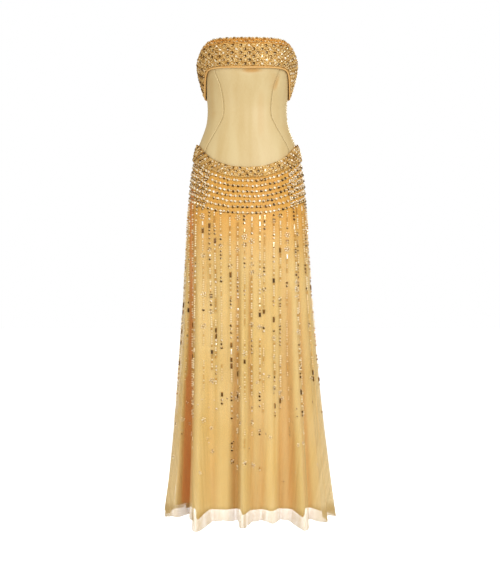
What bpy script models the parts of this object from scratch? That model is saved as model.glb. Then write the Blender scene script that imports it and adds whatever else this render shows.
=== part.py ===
"""Strapless evening gown in its worn form, with no wearer.

A boned satin bodice in seven panels reaches a dropped, U-shaped hip seam. A jewelled
cuff turns over its top edge. A net overlay hangs in soft folds over a shorter satin
lining, and a concealed zip closes the centre back.

Metres, +Z up. The front faces -Y and +X is to the right of someone who looks at it.
The origin is the middle of the waist, where the bodice grips the body. Angles are
measured round the body from the centre front, positive towards +X.
"""

import math
from collections import namedtuple

import bmesh
import bpy
from mathutils import Matrix, Vector

# Walls, and the room that sewn pieces keep between them
GAP = 0.0003
BODICE_WALL = 0.002
LINING_WALL = 0.0012
OVERLAY_WALL = 0.0012
CUFF_WALL = 0.003
TRIM_WALL = 0.0025

# The whole gown, from its driving heights
NECKLINE_HEIGHT = 0.201
HEM_HEIGHT = -1.203
LINING_HEM_HEIGHT = -1.170

# Outer outline of the gown without its folds: half the width, the reach of the front
# and of the back from the middle, and how square the section is, where 2 is an ellipse
Section = namedtuple("Section", "height half_width front back squareness")
SECTIONS = (
    Section(0.200, 0.1370, 0.1170, 0.098, 2.20),
    Section(0.150, 0.1370, 0.1260, 0.099, 2.20),
    Section(0.120, 0.1330, 0.1260, 0.098, 2.20),
    Section(0.080, 0.1260, 0.1150, 0.092, 2.20),
    Section(0.040, 0.1210, 0.1020, 0.084, 2.20),
    Section(0.000, 0.1185, 0.0940, 0.078, 2.20),
    Section(-0.040, 0.1225, 0.0960, 0.082, 2.20),
    Section(-0.084, 0.1375, 0.1030, 0.091, 2.20),
    Section(-0.114, 0.1490, 0.1080, 0.099, 2.20),
    Section(-0.150, 0.1570, 0.1125, 0.108, 2.20),
    Section(-0.204, 0.1660, 0.1180, 0.119, 2.20),
    Section(-0.324, 0.1755, 0.1240, 0.127, 2.15),
    Section(-0.564, 0.1860, 0.1280, 0.136, 2.15),
    Section(-0.864, 0.2030, 0.1370, 0.150, 2.25),
    Section(-1.014, 0.2140, 0.1430, 0.158, 2.35),
    Section(-1.220, 0.2320, 0.1500, 0.170, 2.45),
)

# Heights of the gown's edges round the body, the same on both sides
Edge = namedtuple("Edge", "angle neckline cuff_hem hip_seam trim_hem")
EDGES = (
    Edge(0.0, NECKLINE_HEIGHT, 0.1170, -0.181, -0.205),
    Edge(20.0, NECKLINE_HEIGHT, 0.1175, -0.178, -0.202),
    Edge(36.0, NECKLINE_HEIGHT, 0.1180, -0.168, -0.193),
    Edge(48.0, 0.1995, 0.1170, -0.155, -0.182),
    Edge(57.0, 0.1940, 0.1120, -0.140, -0.172),
    Edge(64.0, 0.1860, 0.1010, -0.127, -0.164),
    Edge(72.0, 0.1755, 0.0810, -0.115, -0.157),
    Edge(80.0, 0.1645, 0.0580, -0.108, -0.152),
    Edge(88.0, 0.1545, 0.0435, -0.105, -0.150),
    Edge(100.0, 0.1430, 0.0410, -0.106, -0.150),
    Edge(120.0, 0.1300, 0.0430, -0.115, -0.153),
    Edge(150.0, 0.1180, 0.0490, -0.133, -0.162),
    Edge(180.0, 0.1140, 0.0540, -0.143, -0.168),
)

# Distance of the shaping seams from the middle of the front and of the back
Seam = namedtuple("Seam", "height front back")
SEAMS = (
    Seam(0.200, 0.103, 0.076),
    Seam(0.106, 0.0915, 0.070),
    Seam(0.068, 0.0790, 0.062),
    Seam(0.019, 0.0710, 0.054),
    Seam(-0.021, 0.0720, 0.055),
    Seam(-0.053, 0.0870, 0.064),
    Seam(-0.084, 0.1050, 0.078),
    Seam(-0.115, 0.1220, 0.090),
    Seam(-0.190, 0.1420, 0.104),
)

# Folds of the skirt. A ridge has a positive rise and a valley a negative one, the lean
# pushes it round the body, so that a deep fold tucks under its neighbour, and the dip is
# how much lower it lets the hem hang. A fold drifts from its hip angle to its hem angle.
Fold = namedtuple("Fold", "hip_angle hem_angle rise lean before after start dip")
FOLDS = (
    Fold(-84.0, -84.0, 0.014, 0.000, 14.0, 13.0, -0.30, 0.004),
    Fold(-73.0, -62.0, -0.056, -0.068, 10.0, 9.0, -0.30, 0.000),
    Fold(-62.0, -44.0, 0.058, 0.030, 8.5, 9.0, -0.26, 0.024),
    Fold(-17.0, -14.0, -0.020, 0.000, 9.0, 7.0, -0.26, 0.000),
    Fold(-6.0, -3.0, 0.058, -0.004, 7.5, 10.0, -0.28, 0.010),
    Fold(21.0, 16.0, -0.010, 0.000, 6.0, 6.0, -0.30, 0.000),
    Fold(29.0, 25.0, 0.012, 0.000, 8.0, 9.0, -0.42, 0.004),
    Fold(45.0, 38.0, -0.020, 0.000, 7.0, 6.0, -0.25, 0.000),
    Fold(57.0, 50.0, 0.060, -0.044, 8.0, 9.0, -0.25, 0.018),
    Fold(71.0, 67.0, 0.030, 0.000, 8.0, 9.0, -0.35, 0.012),
    Fold(87.0, 87.0, 0.032, 0.000, 12.0, 12.0, -0.46, 0.006),
    Fold(107.0, 109.0, 0.050, 0.010, 9.0, 11.0, -0.26, 0.010),
    Fold(122.0, 123.0, -0.014, 0.000, 7.0, 6.0, -0.30, 0.000),
    Fold(133.0, 135.0, 0.062, 0.000, 10.0, 9.0, -0.24, 0.016),
    Fold(154.0, 154.0, 0.040, -0.008, 9.0, 11.0, -0.38, 0.008),
    Fold(176.0, 176.0, 0.060, 0.000, 10.0, 9.0, -0.27, 0.014),
    Fold(-168.0, -168.0, -0.012, 0.000, 6.0, 6.0, -0.30, 0.000),
    Fold(-158.0, -157.0, 0.046, 0.010, 10.0, 10.0, -0.30, 0.010),
    Fold(-138.0, -136.0, 0.064, 0.000, 9.0, 10.0, -0.24, 0.016),
    Fold(-113.0, -113.0, 0.050, -0.012, 11.0, 9.0, -0.32, 0.010),
)
FOLD_GROWTH = 1.15
DRIFT_HEIGHT = -0.25
LINING_RIDGE_SHARE = 0.70
LINING_SEAM_ROOM = 0.0012
LINING_ROOM_AT_TOP = 0.0016
LINING_ROOM_AT_HEM = 0.0055

# How far inside the overlay the lining hangs at its hem, at each side and behind, and the
# angles from the front between which it draws in
LINING_SLIM_LEFT = 0.042
LINING_SLIM_RIGHT = 0.008
LINING_SLIM_BACK = 0.025
LINING_SLIM_FROM = 74.0
LINING_SLIM_FULL = 88.0
LINING_SLIM_BEHIND = 148.0
LINING_SLIM_GROWTH = 2.5

# How finely the walls are divided
BODICE_ROWS = 10
CENTRE_FRONT_COLUMNS = 9
SIDE_FRONT_COLUMNS = 6
BACK_COLUMNS = 5
SKIRT_COLUMNS = 58
OVERLAY_ROWS = 9
LINING_ROWS = 5

# Steps of the searches, and of the differences that give directions
FINE_STEPS = 720
SEAM_STEPS = 30
SETTLE_STEPS = 6
ANGLE_STEP = 1e-3
PLACE_STEP = 1e-4
PIPING_STEP = 1e-2

# Bust cups, shaped by the seams, one each side
CUP_ANGLE = 34.0
CUP_HEIGHT = 0.118
CUP_RISE = 0.006
CUP_SPREAD = 24.0
CUP_REACH = 0.052

# Jewelled cuff: the roll at its top and how far it stands off the bodice
CUFF_ROLL = (  # distance out of the bodice, and drop below the neckline
    (-0.0025, 0.0060),
    (-0.0008, 0.0012),
    (0.0030, 0.0000),
    (0.0072, 0.0022),
)
CUFF_TOP_STAND = 0.0095
CUFF_HEM_STAND = 0.0068
CUFF_SEAM_ROOM = 0.0012
CUFF_SIDE_BULGE = 0.0065
CUFF_FRONT_BULGE = 0.0030
CUFF_BULGE_SKEW = 0.8
CUFF_ROWS = 7
CUFF_FRONT_COLUMNS = 36
CUFF_BACK_COLUMNS = 17
CUFF_PLAIN_ROWS = 2
CUFF_LEVEL = 0.1
CUFF_STONE = 0.0024
PIPING_RADIUS = 0.0024
PIPING_ROOM = 0.0006

# Jewelled edge of the skirt, over the hip seam
TRIM_ABOVE = 0.006
TRIM_ROWS = 4
TRIM_FRONT_COLUMNS = 44
TRIM_BACK_COLUMNS = 21
TRIM_LEVEL = -0.1
TRIM_STONE = 0.0026
OVERLAY_LAP = 0.003
OVERLAY_ROOM = 0.0008

# Concealed zip at the centre back
ZIP_TOP = 0.046
ZIP_WIDTH = 0.007
ZIP_DEPTH = 0.0014
ZIP_ROWS = 12
ZIP_ROOM = 0.0008
SLIDER_HEIGHT = 0.032
SLIDER_SIZE = Vector((0.0066, 0.0016, 0.0100))
SLIDER_BEVEL = 0.0004
BAIL_WIDTH = 0.0012
BAIL_THICK = 0.0008
BAIL_SPAN = 0.0066
BAIL_RISE = 0.0026
PULL_LENGTH = 0.0220
PULL_WIDTH = 0.0056
PULL_THICK = 0.0010
PULL_SLOT_WIDTH = 0.0022
PULL_SLOT_LENGTH = 0.0062
PULL_HEAD_WIDTH = 0.0046
PULL_NECK_WIDTH = 0.0034
PULL_BAR = 0.0010
PULL_WAIST = 0.45
PULL_FOOT_TURN = (20.0, -200.0)
PULL_FOOT_SIDES = 8

HALF_TURN = math.pi
SIDE = math.pi / 2

Finish = namedtuple("Finish", "name colour roughness metallic")
SATIN = Finish("champagne_satin", (0.78, 0.62, 0.33), 0.38, 0.0)
NET = Finish("gold_net", (0.82, 0.60, 0.26), 0.60, 0.0)
LINING = Finish("gold_satin_lining", (0.75, 0.46, 0.14), 0.45, 0.0)
JEWELS = Finish("gold_jewelled_cloth", (0.56, 0.37, 0.13), 0.25, 0.4)
METAL = Finish("gilt_zip_metal", (0.72, 0.52, 0.22), 0.30, 1.0)


def smooth_row(table, place):
    """Row of a table at any place, on a smooth curve through the rows on either side."""
    rising = table[-1][0] > table[0][0]
    inside = range(1, len(table) - 1)
    upper = next((i for i in inside if (table[i][0] > place) == rising), len(table) - 1)
    start, end = table[upper - 1], table[upper]
    before = table[max(upper - 2, 0)]
    after = table[min(upper + 1, len(table) - 1)]
    step = end[0] - start[0]
    share = min(max((place - start[0]) / step, 0.0), 1.0)
    values = []
    for column in range(len(start)):
        leaving = (end[column] - before[column]) / (end[0] - before[0]) * step
        arriving = (after[column] - start[column]) / (after[0] - start[0]) * step
        rise = end[column] - start[column]
        curve = (rise * (3 - 2 * share) * share * share
                 + leaving * share * (1 - share) ** 2
                 - arriving * share * share * (1 - share))
        values.append(start[column] + curve)
    return type(start)(*values)


def edge_at(angle):
    """Heights of the gown's edges at an angle round the body."""
    return smooth_row(EDGES, abs(math.degrees(angle)))


def outline_radius(angle, height):
    """Distance from the middle to the outline without its folds."""
    section = smooth_row(SECTIONS, height)
    depth = section.front if math.cos(angle) > 0 else section.back
    power = section.squareness
    across = abs(math.sin(angle)) / section.half_width
    along = abs(math.cos(angle)) / depth
    return (across ** power + along ** power) ** (-1 / power)


def bodice_point(angle, height):
    """Point of the bodice's outer face, with the cups that its seams shape."""
    radius = outline_radius(angle, height)
    aside = (abs(math.degrees(angle)) - CUP_ANGLE) / CUP_SPREAD
    above = (height - CUP_HEIGHT) / CUP_REACH
    radius += CUP_RISE * math.exp(-aside * aside - above * above)
    return Vector((radius * math.sin(angle), -radius * math.cos(angle), height))


def turn_between(angle, centre):
    """Signed turn in degrees from a fold's centre to an angle, the short way round."""
    return (math.degrees(angle) - centre + 180.0) % 360.0 - 180.0


def drift_left(height):
    """Share of the folds' drift that is still to come below a height."""
    return min(max((height - HEM_HEIGHT) / (DRIFT_HEIGHT - HEM_HEIGHT), 0.0), 1.0)


def fold_strengths(angle, height):
    """Each fold that reaches a place, with how far it is across and down its growth."""
    left = drift_left(height)
    for fold in FOLDS:
        if height >= fold.start:
            continue
        centre = fold.hem_angle + (fold.hip_angle - fold.hem_angle) * left
        turn = turn_between(angle, centre)
        reach = fold.after if turn > 0 else fold.before
        if abs(turn) < reach:
            grown = (fold.start - height) / (fold.start - HEM_HEIGHT)
            yield fold, math.cos(math.pi / 2 * turn / reach) ** 2, grown


def column_angle(hem_angle, height):
    """Angle, at a height, of the line of cloth that meets the hem at an angle."""
    rising = sorted(FOLDS, key=lambda fold: fold.hem_angle)
    places = [fold.hem_angle for fold in rising]
    drifts = [fold.hip_angle - fold.hem_angle for fold in rising]
    places = [places[-1] - 360.0] + places + [places[0] + 360.0]
    drifts = [drifts[-1]] + drifts + [drifts[0]]
    place = math.degrees(hem_angle)
    after = next(i for i in range(1, len(places)) if places[i] >= place)
    part = (place - places[after - 1]) / (places[after] - places[after - 1])
    drift = drifts[after - 1] + (drifts[after] - drifts[after - 1]) * part
    return hem_angle + math.radians(drift) * drift_left(height)


def ease(share):
    """Smooth step from 0 to 1."""
    share = min(max(share, 0.0), 1.0)
    return share * share * (3 - 2 * share)


def lining_slimness(angle, height):
    """How far inside the outline the lining hangs, more towards its hem."""
    turn = turn_between(angle, 0.0)
    side = LINING_SLIM_LEFT if turn < 0 else LINING_SLIM_RIGHT
    begun = ease((abs(turn) - LINING_SLIM_FROM) / (LINING_SLIM_FULL - LINING_SLIM_FROM))
    behind = ease((abs(turn) - LINING_SLIM_FULL) / (LINING_SLIM_BEHIND - LINING_SLIM_FULL))
    amount = side + (LINING_SLIM_BACK - side) * behind
    return amount * begun * (1 - drift_left(height)) ** LINING_SLIM_GROWTH


def folded_point(angle, height, of_lining):
    """Point of the skirt's outline with its folds, which the lining follows less far out."""
    radius, round_body = outline_radius(angle, height), 0.0
    ridge_share = LINING_RIDGE_SHARE if of_lining else 1.0
    if of_lining:
        radius -= lining_slimness(angle, height)
    for fold, bump, grown in fold_strengths(angle, height):
        strength = bump * grown ** FOLD_GROWTH * (ridge_share if fold.rise > 0 else 1.0)
        radius += fold.rise * strength
        round_body += fold.lean * strength
    away = Vector((math.sin(angle), -math.cos(angle), 0.0))
    around = Vector((math.cos(angle), math.sin(angle), 0.0))
    return away * radius + around * round_body + Vector((0.0, 0.0, height))


def hanging_point(angle, height, stand, of_lining):
    """Point of a skirt layer's outer face, standing off the folded outline."""
    along = (folded_point(angle + ANGLE_STEP, height, of_lining)
             - folded_point(angle - ANGLE_STEP, height, of_lining))
    out = along.cross(Vector((0.0, 0.0, 1.0))).normalized()
    return folded_point(angle, height, of_lining) + out * stand


def hem_height(angle, level):
    """Height of a hem, which dips where a ridge carries the cloth forwards."""
    return level - sum(fold.dip * bump for fold, bump, _ in fold_strengths(angle, level))


def overlay_point(column, share):
    """Outer face of the net overlay; share runs from its top edge down to its hem."""
    top = edge_at(column_angle(column, DRIFT_HEIGHT)).hip_seam + OVERLAY_LAP
    height = top + (hem_height(column, HEM_HEIGHT) - top) * share
    angle = column_angle(column, height)
    return hanging_point(angle, height, OVERLAY_ROOM + OVERLAY_WALL, False)


def lining_point(column, share):
    """Outer face of the satin lining; share runs from the hip seam down to its hem."""
    top = edge_at(column_angle(column, DRIFT_HEIGHT)).hip_seam - LINING_SEAM_ROOM
    height = top + (hem_height(column, LINING_HEM_HEIGHT) - top) * share
    room = LINING_ROOM_AT_TOP + (LINING_ROOM_AT_HEM - LINING_ROOM_AT_TOP) * share
    angle = column_angle(column, height)
    return hanging_point(angle, height, OVERLAY_ROOM - room, True)


def outward(surface, across, down):
    """Direction out of a surface that is given as a function of two places."""
    step = PLACE_STEP
    along = surface(across + step, down) - surface(across - step, down)
    falling = surface(across, down + step) - surface(across, down - step)
    normal = along.cross(falling).normalized()
    point = surface(across, down)
    return -normal if normal.dot(Vector((point.x, point.y, 0.0))) < 0 else normal


def even(start, end, count):
    """Evenly spaced values from start to end, both included."""
    return [start + (end - start) * i / count for i in range(count + 1)]


def add_object(name, mesh, finish):
    """Object for one piece of the gown, with its material."""
    material = bpy.data.materials.get(finish.name)
    if material is None:
        material = bpy.data.materials.new(finish.name)
        material.use_nodes = True
        shader = material.node_tree.nodes["Principled BSDF"]
        shader.inputs["Base Color"].default_value = (*finish.colour, 1.0)
        shader.inputs["Roughness"].default_value = finish.roughness
        shader.inputs["Metallic"].default_value = finish.metallic
    mesh.materials.append(material)
    mesh.shade_smooth()
    piece = bpy.data.objects.new(name, mesh)
    bpy.context.scene.collection.objects.link(piece)
    return piece


def mesh_from(bm, name):
    """Mesh data of a finished bmesh, with its faces pointing out."""
    bmesh.ops.recalc_face_normals(bm, faces=bm.faces)
    mesh = bpy.data.meshes.new(name)
    bm.to_mesh(mesh)
    bm.free()
    return mesh


def cloth_wall(name, outer, inner, finish):
    """Closed wall between two grids of points of the same size, as rows of points."""
    rows, columns = len(outer), len(outer[0])
    bm = bmesh.new()
    faces = {}
    for side, grid in (("outer", outer), ("inner", inner)):
        points = [[bm.verts.new(point) for point in row] for row in grid]
        faces[side] = points
        for i in range(rows - 1):
            for j in range(columns - 1):
                bm.faces.new((points[i][j], points[i][j + 1],
                              points[i + 1][j + 1], points[i + 1][j]))
    rim = ([(0, j) for j in range(columns)]
           + [(i, columns - 1) for i in range(1, rows)]
           + [(rows - 1, j) for j in range(columns - 2, -1, -1)]
           + [(i, 0) for i in range(rows - 2, 0, -1)])
    for here, there in zip(rim, rim[1:] + rim[:1]):
        bm.faces.new((faces["outer"][here[0]][here[1]], faces["outer"][there[0]][there[1]],
                      faces["inner"][there[0]][there[1]], faces["inner"][here[0]][here[1]]))
    return add_object(name, mesh_from(bm, name), finish)


def wall_on(name, surface, angles, downs, thickness, finish, raised=None):
    """Wall of one thickness behind a surface; raised gives stones on its outer points."""
    outer, inner = [], []
    for i, down in enumerate(downs):
        outer_row, inner_row = [], []
        for j, angle in enumerate(angles):
            point = surface(angle, down)
            normal = outward(surface, angle, down)
            lift = raised(i, j) if raised else 0.0
            outer_row.append(point + normal * lift)
            inner_row.append(point - normal * thickness)
        outer.append(outer_row)
        inner.append(inner_row)
    return cloth_wall(name, outer, inner, finish)


def seam_angle(height, from_back):
    """Angle of the shaping seam on the +X side, in the front or in the back."""
    seam = smooth_row(SEAMS, height)
    distance = seam.back if from_back else seam.front
    low, high = 0.0, SIDE
    for _ in range(SEAM_STEPS):
        middle = (low + high) / 2
        angle = HALF_TURN - middle if from_back else middle
        across = outline_radius(angle, height) * math.sin(middle)
        low, high = (middle, high) if across < distance else (low, middle)
    return HALF_TURN - low if from_back else low


def bodice_panel(name, first, last, columns, first_room=GAP, last_room=GAP):
    """Panel of the bodice between two seams, given as angles for a height."""
    def place(across, down):
        """Angle and height of a place on the panel, from seam to seam and top to hip."""
        angle, height = 0.0, 0.0
        for _ in range(SETTLE_STEPS):
            left = first(height)
            right = last(height)
            room = outline_radius(left, height)
            left += first_room / 2 / room
            right -= last_room / 2 / room
            angle = left + (right - left) * across
            edges = edge_at(angle)
            top = edges.neckline - CUFF_ROLL[0][1] - CUFF_SEAM_ROOM
            height = top + (edges.hip_seam - top) * down
        return angle, height

    outer, inner = [], []
    for down in even(0.0, 1.0, BODICE_ROWS):
        outer_row, inner_row = [], []
        for across in even(0.0, 1.0, columns):
            angle, height = place(across, down)
            point = bodice_point(angle, height)
            normal = outward(bodice_point, angle, height)
            outer_row.append(point)
            inner_row.append(point - normal * BODICE_WALL)
        outer.append(outer_row)
        inner.append(inner_row)
    return cloth_wall(name, outer, inner, SATIN)


def build_bodice():
    """Seven satin panels: centre front, and on each side a side front, side back and back."""
    def front_seam(height):
        return seam_angle(height, from_back=False)

    def back_seam(height):
        return seam_angle(height, from_back=True)

    bodice_panel("bodice_centre_front", lambda z: -front_seam(z), front_seam,
                 CENTRE_FRONT_COLUMNS)
    bodice_panel("bodice_side_front_left", front_seam, lambda z: SIDE, SIDE_FRONT_COLUMNS)
    bodice_panel("bodice_side_front_right", lambda z: -SIDE, lambda z: -front_seam(z),
                 SIDE_FRONT_COLUMNS)
    bodice_panel("bodice_side_back_left", lambda z: SIDE, back_seam, BACK_COLUMNS)
    bodice_panel("bodice_side_back_right", lambda z: -back_seam(z), lambda z: -SIDE,
                 BACK_COLUMNS)
    bodice_panel("bodice_back_left", back_seam, lambda z: HALF_TURN, BACK_COLUMNS,
                 last_room=ZIP_ROOM)
    bodice_panel("bodice_back_right", lambda z: -HALF_TURN, lambda z: -back_seam(z),
                 BACK_COLUMNS, first_room=ZIP_ROOM)


def cuff_stand(angle, share):
    """Distance between the bodice and the cuff's outer face, from its roll to its hem."""
    sideways = math.sin(angle) ** 2
    bulge = CUFF_FRONT_BULGE + (CUFF_SIDE_BULGE - CUFF_FRONT_BULGE) * sideways
    straight = CUFF_TOP_STAND + (CUFF_HEM_STAND - CUFF_TOP_STAND) * share
    return straight + bulge * math.sin(math.pi * share ** CUFF_BULGE_SKEW)


def cuff_point(angle, place):
    """Outer face of the cuff: places count down its roll first, then down its fall."""
    edges = edge_at(angle)
    roll = len(CUFF_ROLL)
    if place < roll - 1:
        i = int(place)
        part = place - i
        stand, drop = (a + (b - a) * part for a, b in zip(CUFF_ROLL[i], CUFF_ROLL[i + 1]))
        height = edges.neckline - drop
    else:
        share = (place - roll + 1) / CUFF_ROWS
        top = edges.neckline - CUFF_ROLL[-1][1]
        height = top + (edges.cuff_hem - top) * share
        first = CUFF_ROLL[-1][0]
        settle = min(share * CUFF_ROWS, 1.0)
        stand = first + (cuff_stand(angle, share) - first) * settle
    point = bodice_point(angle, height)
    away = Vector((math.sin(angle), -math.cos(angle), 0.0))
    return point + away * stand


def cuff_normals(angle, rows):
    """Directions out of the cuff down one line of it, which starts straight up."""
    line = [cuff_point(angle, row) for row in rows]
    around = Vector((math.cos(angle), math.sin(angle), 0.0))
    normals = []
    for i in range(len(line)):
        falling = line[min(i + 1, len(line) - 1)] - line[max(i - 1, 0)]
        if i == 0:
            falling = Vector((0.0, 0.0, 1.0))
        normals.append(falling.cross(around).normalized())
    return normals


def cuff_piece(name, angles):
    """Part of the cuff between two seams, its stones raised on its outer points."""
    rows = list(range(len(CUFF_ROLL) + CUFF_ROWS))
    outer = [[] for _ in rows]
    inner = [[] for _ in rows]
    for j, angle in enumerate(angles):
        normals = cuff_normals(angle, rows)
        for i, row in enumerate(rows):
            point = cuff_point(angle, row)
            on_edge = j in (0, len(angles) - 1) or i < CUFF_PLAIN_ROWS or i == rows[-1]
            lift = 0.0 if on_edge or (i + j) % 2 else CUFF_STONE
            outer[i].append(point + normals[i] * lift)
            inner[i].append(point - normals[i] * CUFF_WALL)
    return cloth_wall(name, outer, inner, JEWELS)


def round_piece(name, points, radius, finish):
    """Round strip along a line of points, closed at both ends."""
    curve = bpy.data.curves.new(name, "CURVE")
    curve.dimensions = "3D"
    curve.bevel_depth = radius
    curve.bevel_resolution = 1
    curve.use_fill_caps = True
    line = curve.splines.new("POLY")
    line.points.add(len(points) - 1)
    for spot, point in zip(line.points, points):
        spot.co = (*point, 1.0)
    piece = bpy.data.objects.new(name, curve)
    bpy.context.scene.collection.objects.link(piece)
    mesh = bpy.data.meshes.new_from_object(piece)
    bpy.data.objects.remove(piece)
    return add_object(name, mesh, finish)


def cuff_edge(angle):
    """Middle of the cuff's wall at its lower edge."""
    last = len(CUFF_ROLL) + CUFF_ROWS - 1
    normal = cuff_normals(angle, [last - 1, last])[-1]
    return cuff_point(angle, last) - normal * CUFF_WALL / 2


def piping_point(angle):
    """Middle of the piping, which hangs square to the cuff's edge."""
    along = cuff_edge(angle + PIPING_STEP) - cuff_edge(angle - PIPING_STEP)
    away = Vector((math.sin(angle), -math.cos(angle), 0.0))
    down = along.cross(away).normalized()
    return cuff_edge(angle) + down * (PIPING_RADIUS + PIPING_ROOM)


def build_cuff():
    """Cuff in a front and two back pieces, with satin piping along its lower edge."""
    seam = GAP / 2 / outline_radius(SIDE, CUFF_LEVEL)
    middle = ZIP_ROOM / 2 / outline_radius(HALF_TURN, CUFF_LEVEL)
    front = even(-SIDE + seam, SIDE - seam, CUFF_FRONT_COLUMNS)
    left = even(SIDE + seam, HALF_TURN - middle, CUFF_BACK_COLUMNS)
    right = [-angle for angle in reversed(left)]
    cuff_piece("cuff_front", front)
    cuff_piece("cuff_back_left", left)
    cuff_piece("cuff_back_right", right)
    round_piece("cuff_piping", [piping_point(angle) for angle in right + front[1:] + left[1:]],
                PIPING_RADIUS, SATIN)


def fold_columns(first, last, count):
    """Angles that share out the hem's length, so that each fold gets its own."""
    fine = even(first, last, FINE_STEPS)
    hem = [folded_point(angle, HEM_HEIGHT, False) for angle in fine]
    run = [0.0]
    for here, there in zip(hem, hem[1:]):
        run.append(run[-1] + (there - here).length)
    angles = []
    i = 0
    for wanted in even(0.0, run[-1], count):
        while i < FINE_STEPS - 1 and run[i + 1] < wanted:
            i += 1
        part = (wanted - run[i]) / (run[i + 1] - run[i])
        angles.append(fine[i] + (fine[i + 1] - fine[i]) * part)
    return angles


def build_skirt():
    """Lining and net overlay, each cut as a front and two backs."""
    seam = GAP / 2 / outline_radius(SIDE, 0.0)
    for part, first, last, columns in (
            ("front", -SIDE + seam, SIDE - seam, SKIRT_COLUMNS),
            ("back_left", SIDE + seam, HALF_TURN - seam, SKIRT_COLUMNS // 2),
            ("back_right", -HALF_TURN + seam, -SIDE - seam, SKIRT_COLUMNS // 2)):
        angles = fold_columns(first, last, columns)
        wall_on(f"skirt_overlay_{part}", overlay_point, angles,
                even(0.0, 1.0, OVERLAY_ROWS), OVERLAY_WALL, NET)
        wall_on(f"skirt_lining_{part}", lining_point, angles,
                even(0.0, 1.0, LINING_ROWS), LINING_WALL, LINING)


def trim_point(angle, share):
    """Outer face of the jewelled edge, lying on the overlay along the hip seam."""
    edges = edge_at(angle)
    top = edges.hip_seam + TRIM_ABOVE
    height = top + (edges.trim_hem - top) * share
    stand = OVERLAY_ROOM * 2 + OVERLAY_WALL + TRIM_WALL
    return hanging_point(angle, height, stand, False)


def build_trim():
    """Band of large stones over the hip seam, as a front and two backs."""
    seam = GAP / 2 / outline_radius(SIDE, TRIM_LEVEL)

    def stones(columns):
        def raised(i, j):
            """Stone height on a point: every other point, and none on the side ends."""
            return 0.0 if j in (0, columns) or (i + j) % 2 else TRIM_STONE
        return raised

    for name, first, last, columns in (
            ("hip_trim_front", -SIDE + seam, SIDE - seam, TRIM_FRONT_COLUMNS),
            ("hip_trim_back_left", SIDE + seam, HALF_TURN - seam, TRIM_BACK_COLUMNS),
            ("hip_trim_back_right", -HALF_TURN + seam, -SIDE - seam, TRIM_BACK_COLUMNS)):
        wall_on(name, trim_point, even(first, last, columns),
                even(0.0, 1.0, TRIM_ROWS), TRIM_WALL, JEWELS, stones(columns))


def box_piece(bm, centre, size):
    """Adds a box to a bmesh and gives its new points."""
    made = bmesh.ops.create_cube(bm, size=1.0)["verts"]
    bmesh.ops.scale(bm, vec=size, verts=made)
    bmesh.ops.translate(bm, vec=centre, verts=made)
    return made


def build_zip_chain():
    """Closed chain of the concealed zip, just inside the centre-back seam."""
    top, bottom = ZIP_TOP, edge_at(HALF_TURN).hip_seam + GAP
    outer, inner = [], []
    for height in even(top, bottom, ZIP_ROWS):
        behind = bodice_point(HALF_TURN, height).y - BODICE_WALL - GAP * 2
        corners = [Vector((x, behind, height)) for x in (ZIP_WIDTH / 2, -ZIP_WIDTH / 2)]
        outer.append(corners)
        inner.append([corner - Vector((0.0, ZIP_DEPTH, 0.0)) for corner in corners])
    cloth_wall("zip_chain", outer, inner, METAL)


def prism(bm, outline, depth):
    """Adds a flat shape, given as its corners, and thickens it by a vector."""
    face = bm.faces.new([bm.verts.new(corner) for corner in outline])
    grown = bmesh.ops.extrude_face_region(bm, geom=[face])["geom"]
    moved = [item for item in grown if isinstance(item, bmesh.types.BMVert)]
    bmesh.ops.translate(bm, vec=depth, verts=moved)


def apply_boolean(piece, other, operation):
    """Cuts or joins one object with another and removes the other."""
    modifier = piece.modifiers.new("join", "BOOLEAN")
    modifier.operation = operation
    modifier.object = other
    bpy.context.view_layer.update()
    shape = piece.evaluated_get(bpy.context.evaluated_depsgraph_get())
    mesh = bpy.data.meshes.new_from_object(shape)
    piece.modifiers.clear()
    piece.data = mesh
    bpy.data.objects.remove(other)


def slider_frame():
    """Middle of the pull's bar, and the turn that lays the slider on the seam."""
    face = bodice_point(HALF_TURN, SLIDER_HEIGHT)
    normal = outward(bodice_point, HALF_TURN, SLIDER_HEIGHT)
    lean = Matrix.Rotation(math.atan2(normal.z, normal.y), 4, "X")
    pivot = face + normal * (GAP * 2 + SLIDER_SIZE.y + BAIL_RISE / 2)
    pivot.x = 0.0
    return pivot, lean


def build_slider():
    """Slider body with a bail, an arch that runs up and down its outer face."""
    pivot, lean = slider_frame()
    face = -BAIL_RISE / 2
    bm = bmesh.new()
    box_piece(bm, (0.0, face - SLIDER_SIZE.y / 2, 0.0), SLIDER_SIZE)
    bmesh.ops.bevel(bm, geom=bm.edges[:], offset=SLIDER_BEVEL, segments=1, profile=0.5,
                    affect="EDGES", material=-1)
    body = add_object("zip_slider", mesh_from(bm, "zip_slider"), METAL)
    reach = BAIL_SPAN / 2
    leg = reach - BAIL_THICK
    root = face - SLIDER_SIZE.y / 2
    under = face + BAIL_RISE
    crown = under + BAIL_THICK
    shoulder = under + BAIL_THICK / 2
    sides = [(root, reach), (root, leg), (under, leg), (under, -leg), (root, -leg),
             (root, -reach), (shoulder, -reach), (crown, -leg), (crown, leg),
             (shoulder, reach)]
    arch = bmesh.new()
    prism(arch, [(-BAIL_WIDTH / 2, out, up) for out, up in sides], (BAIL_WIDTH, 0.0, 0.0))
    bail = add_object("bail", mesh_from(arch, "bail"), METAL)
    apply_boolean(body, bail, "UNION")
    body.matrix_world = Matrix.Translation(pivot) @ lean


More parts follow.
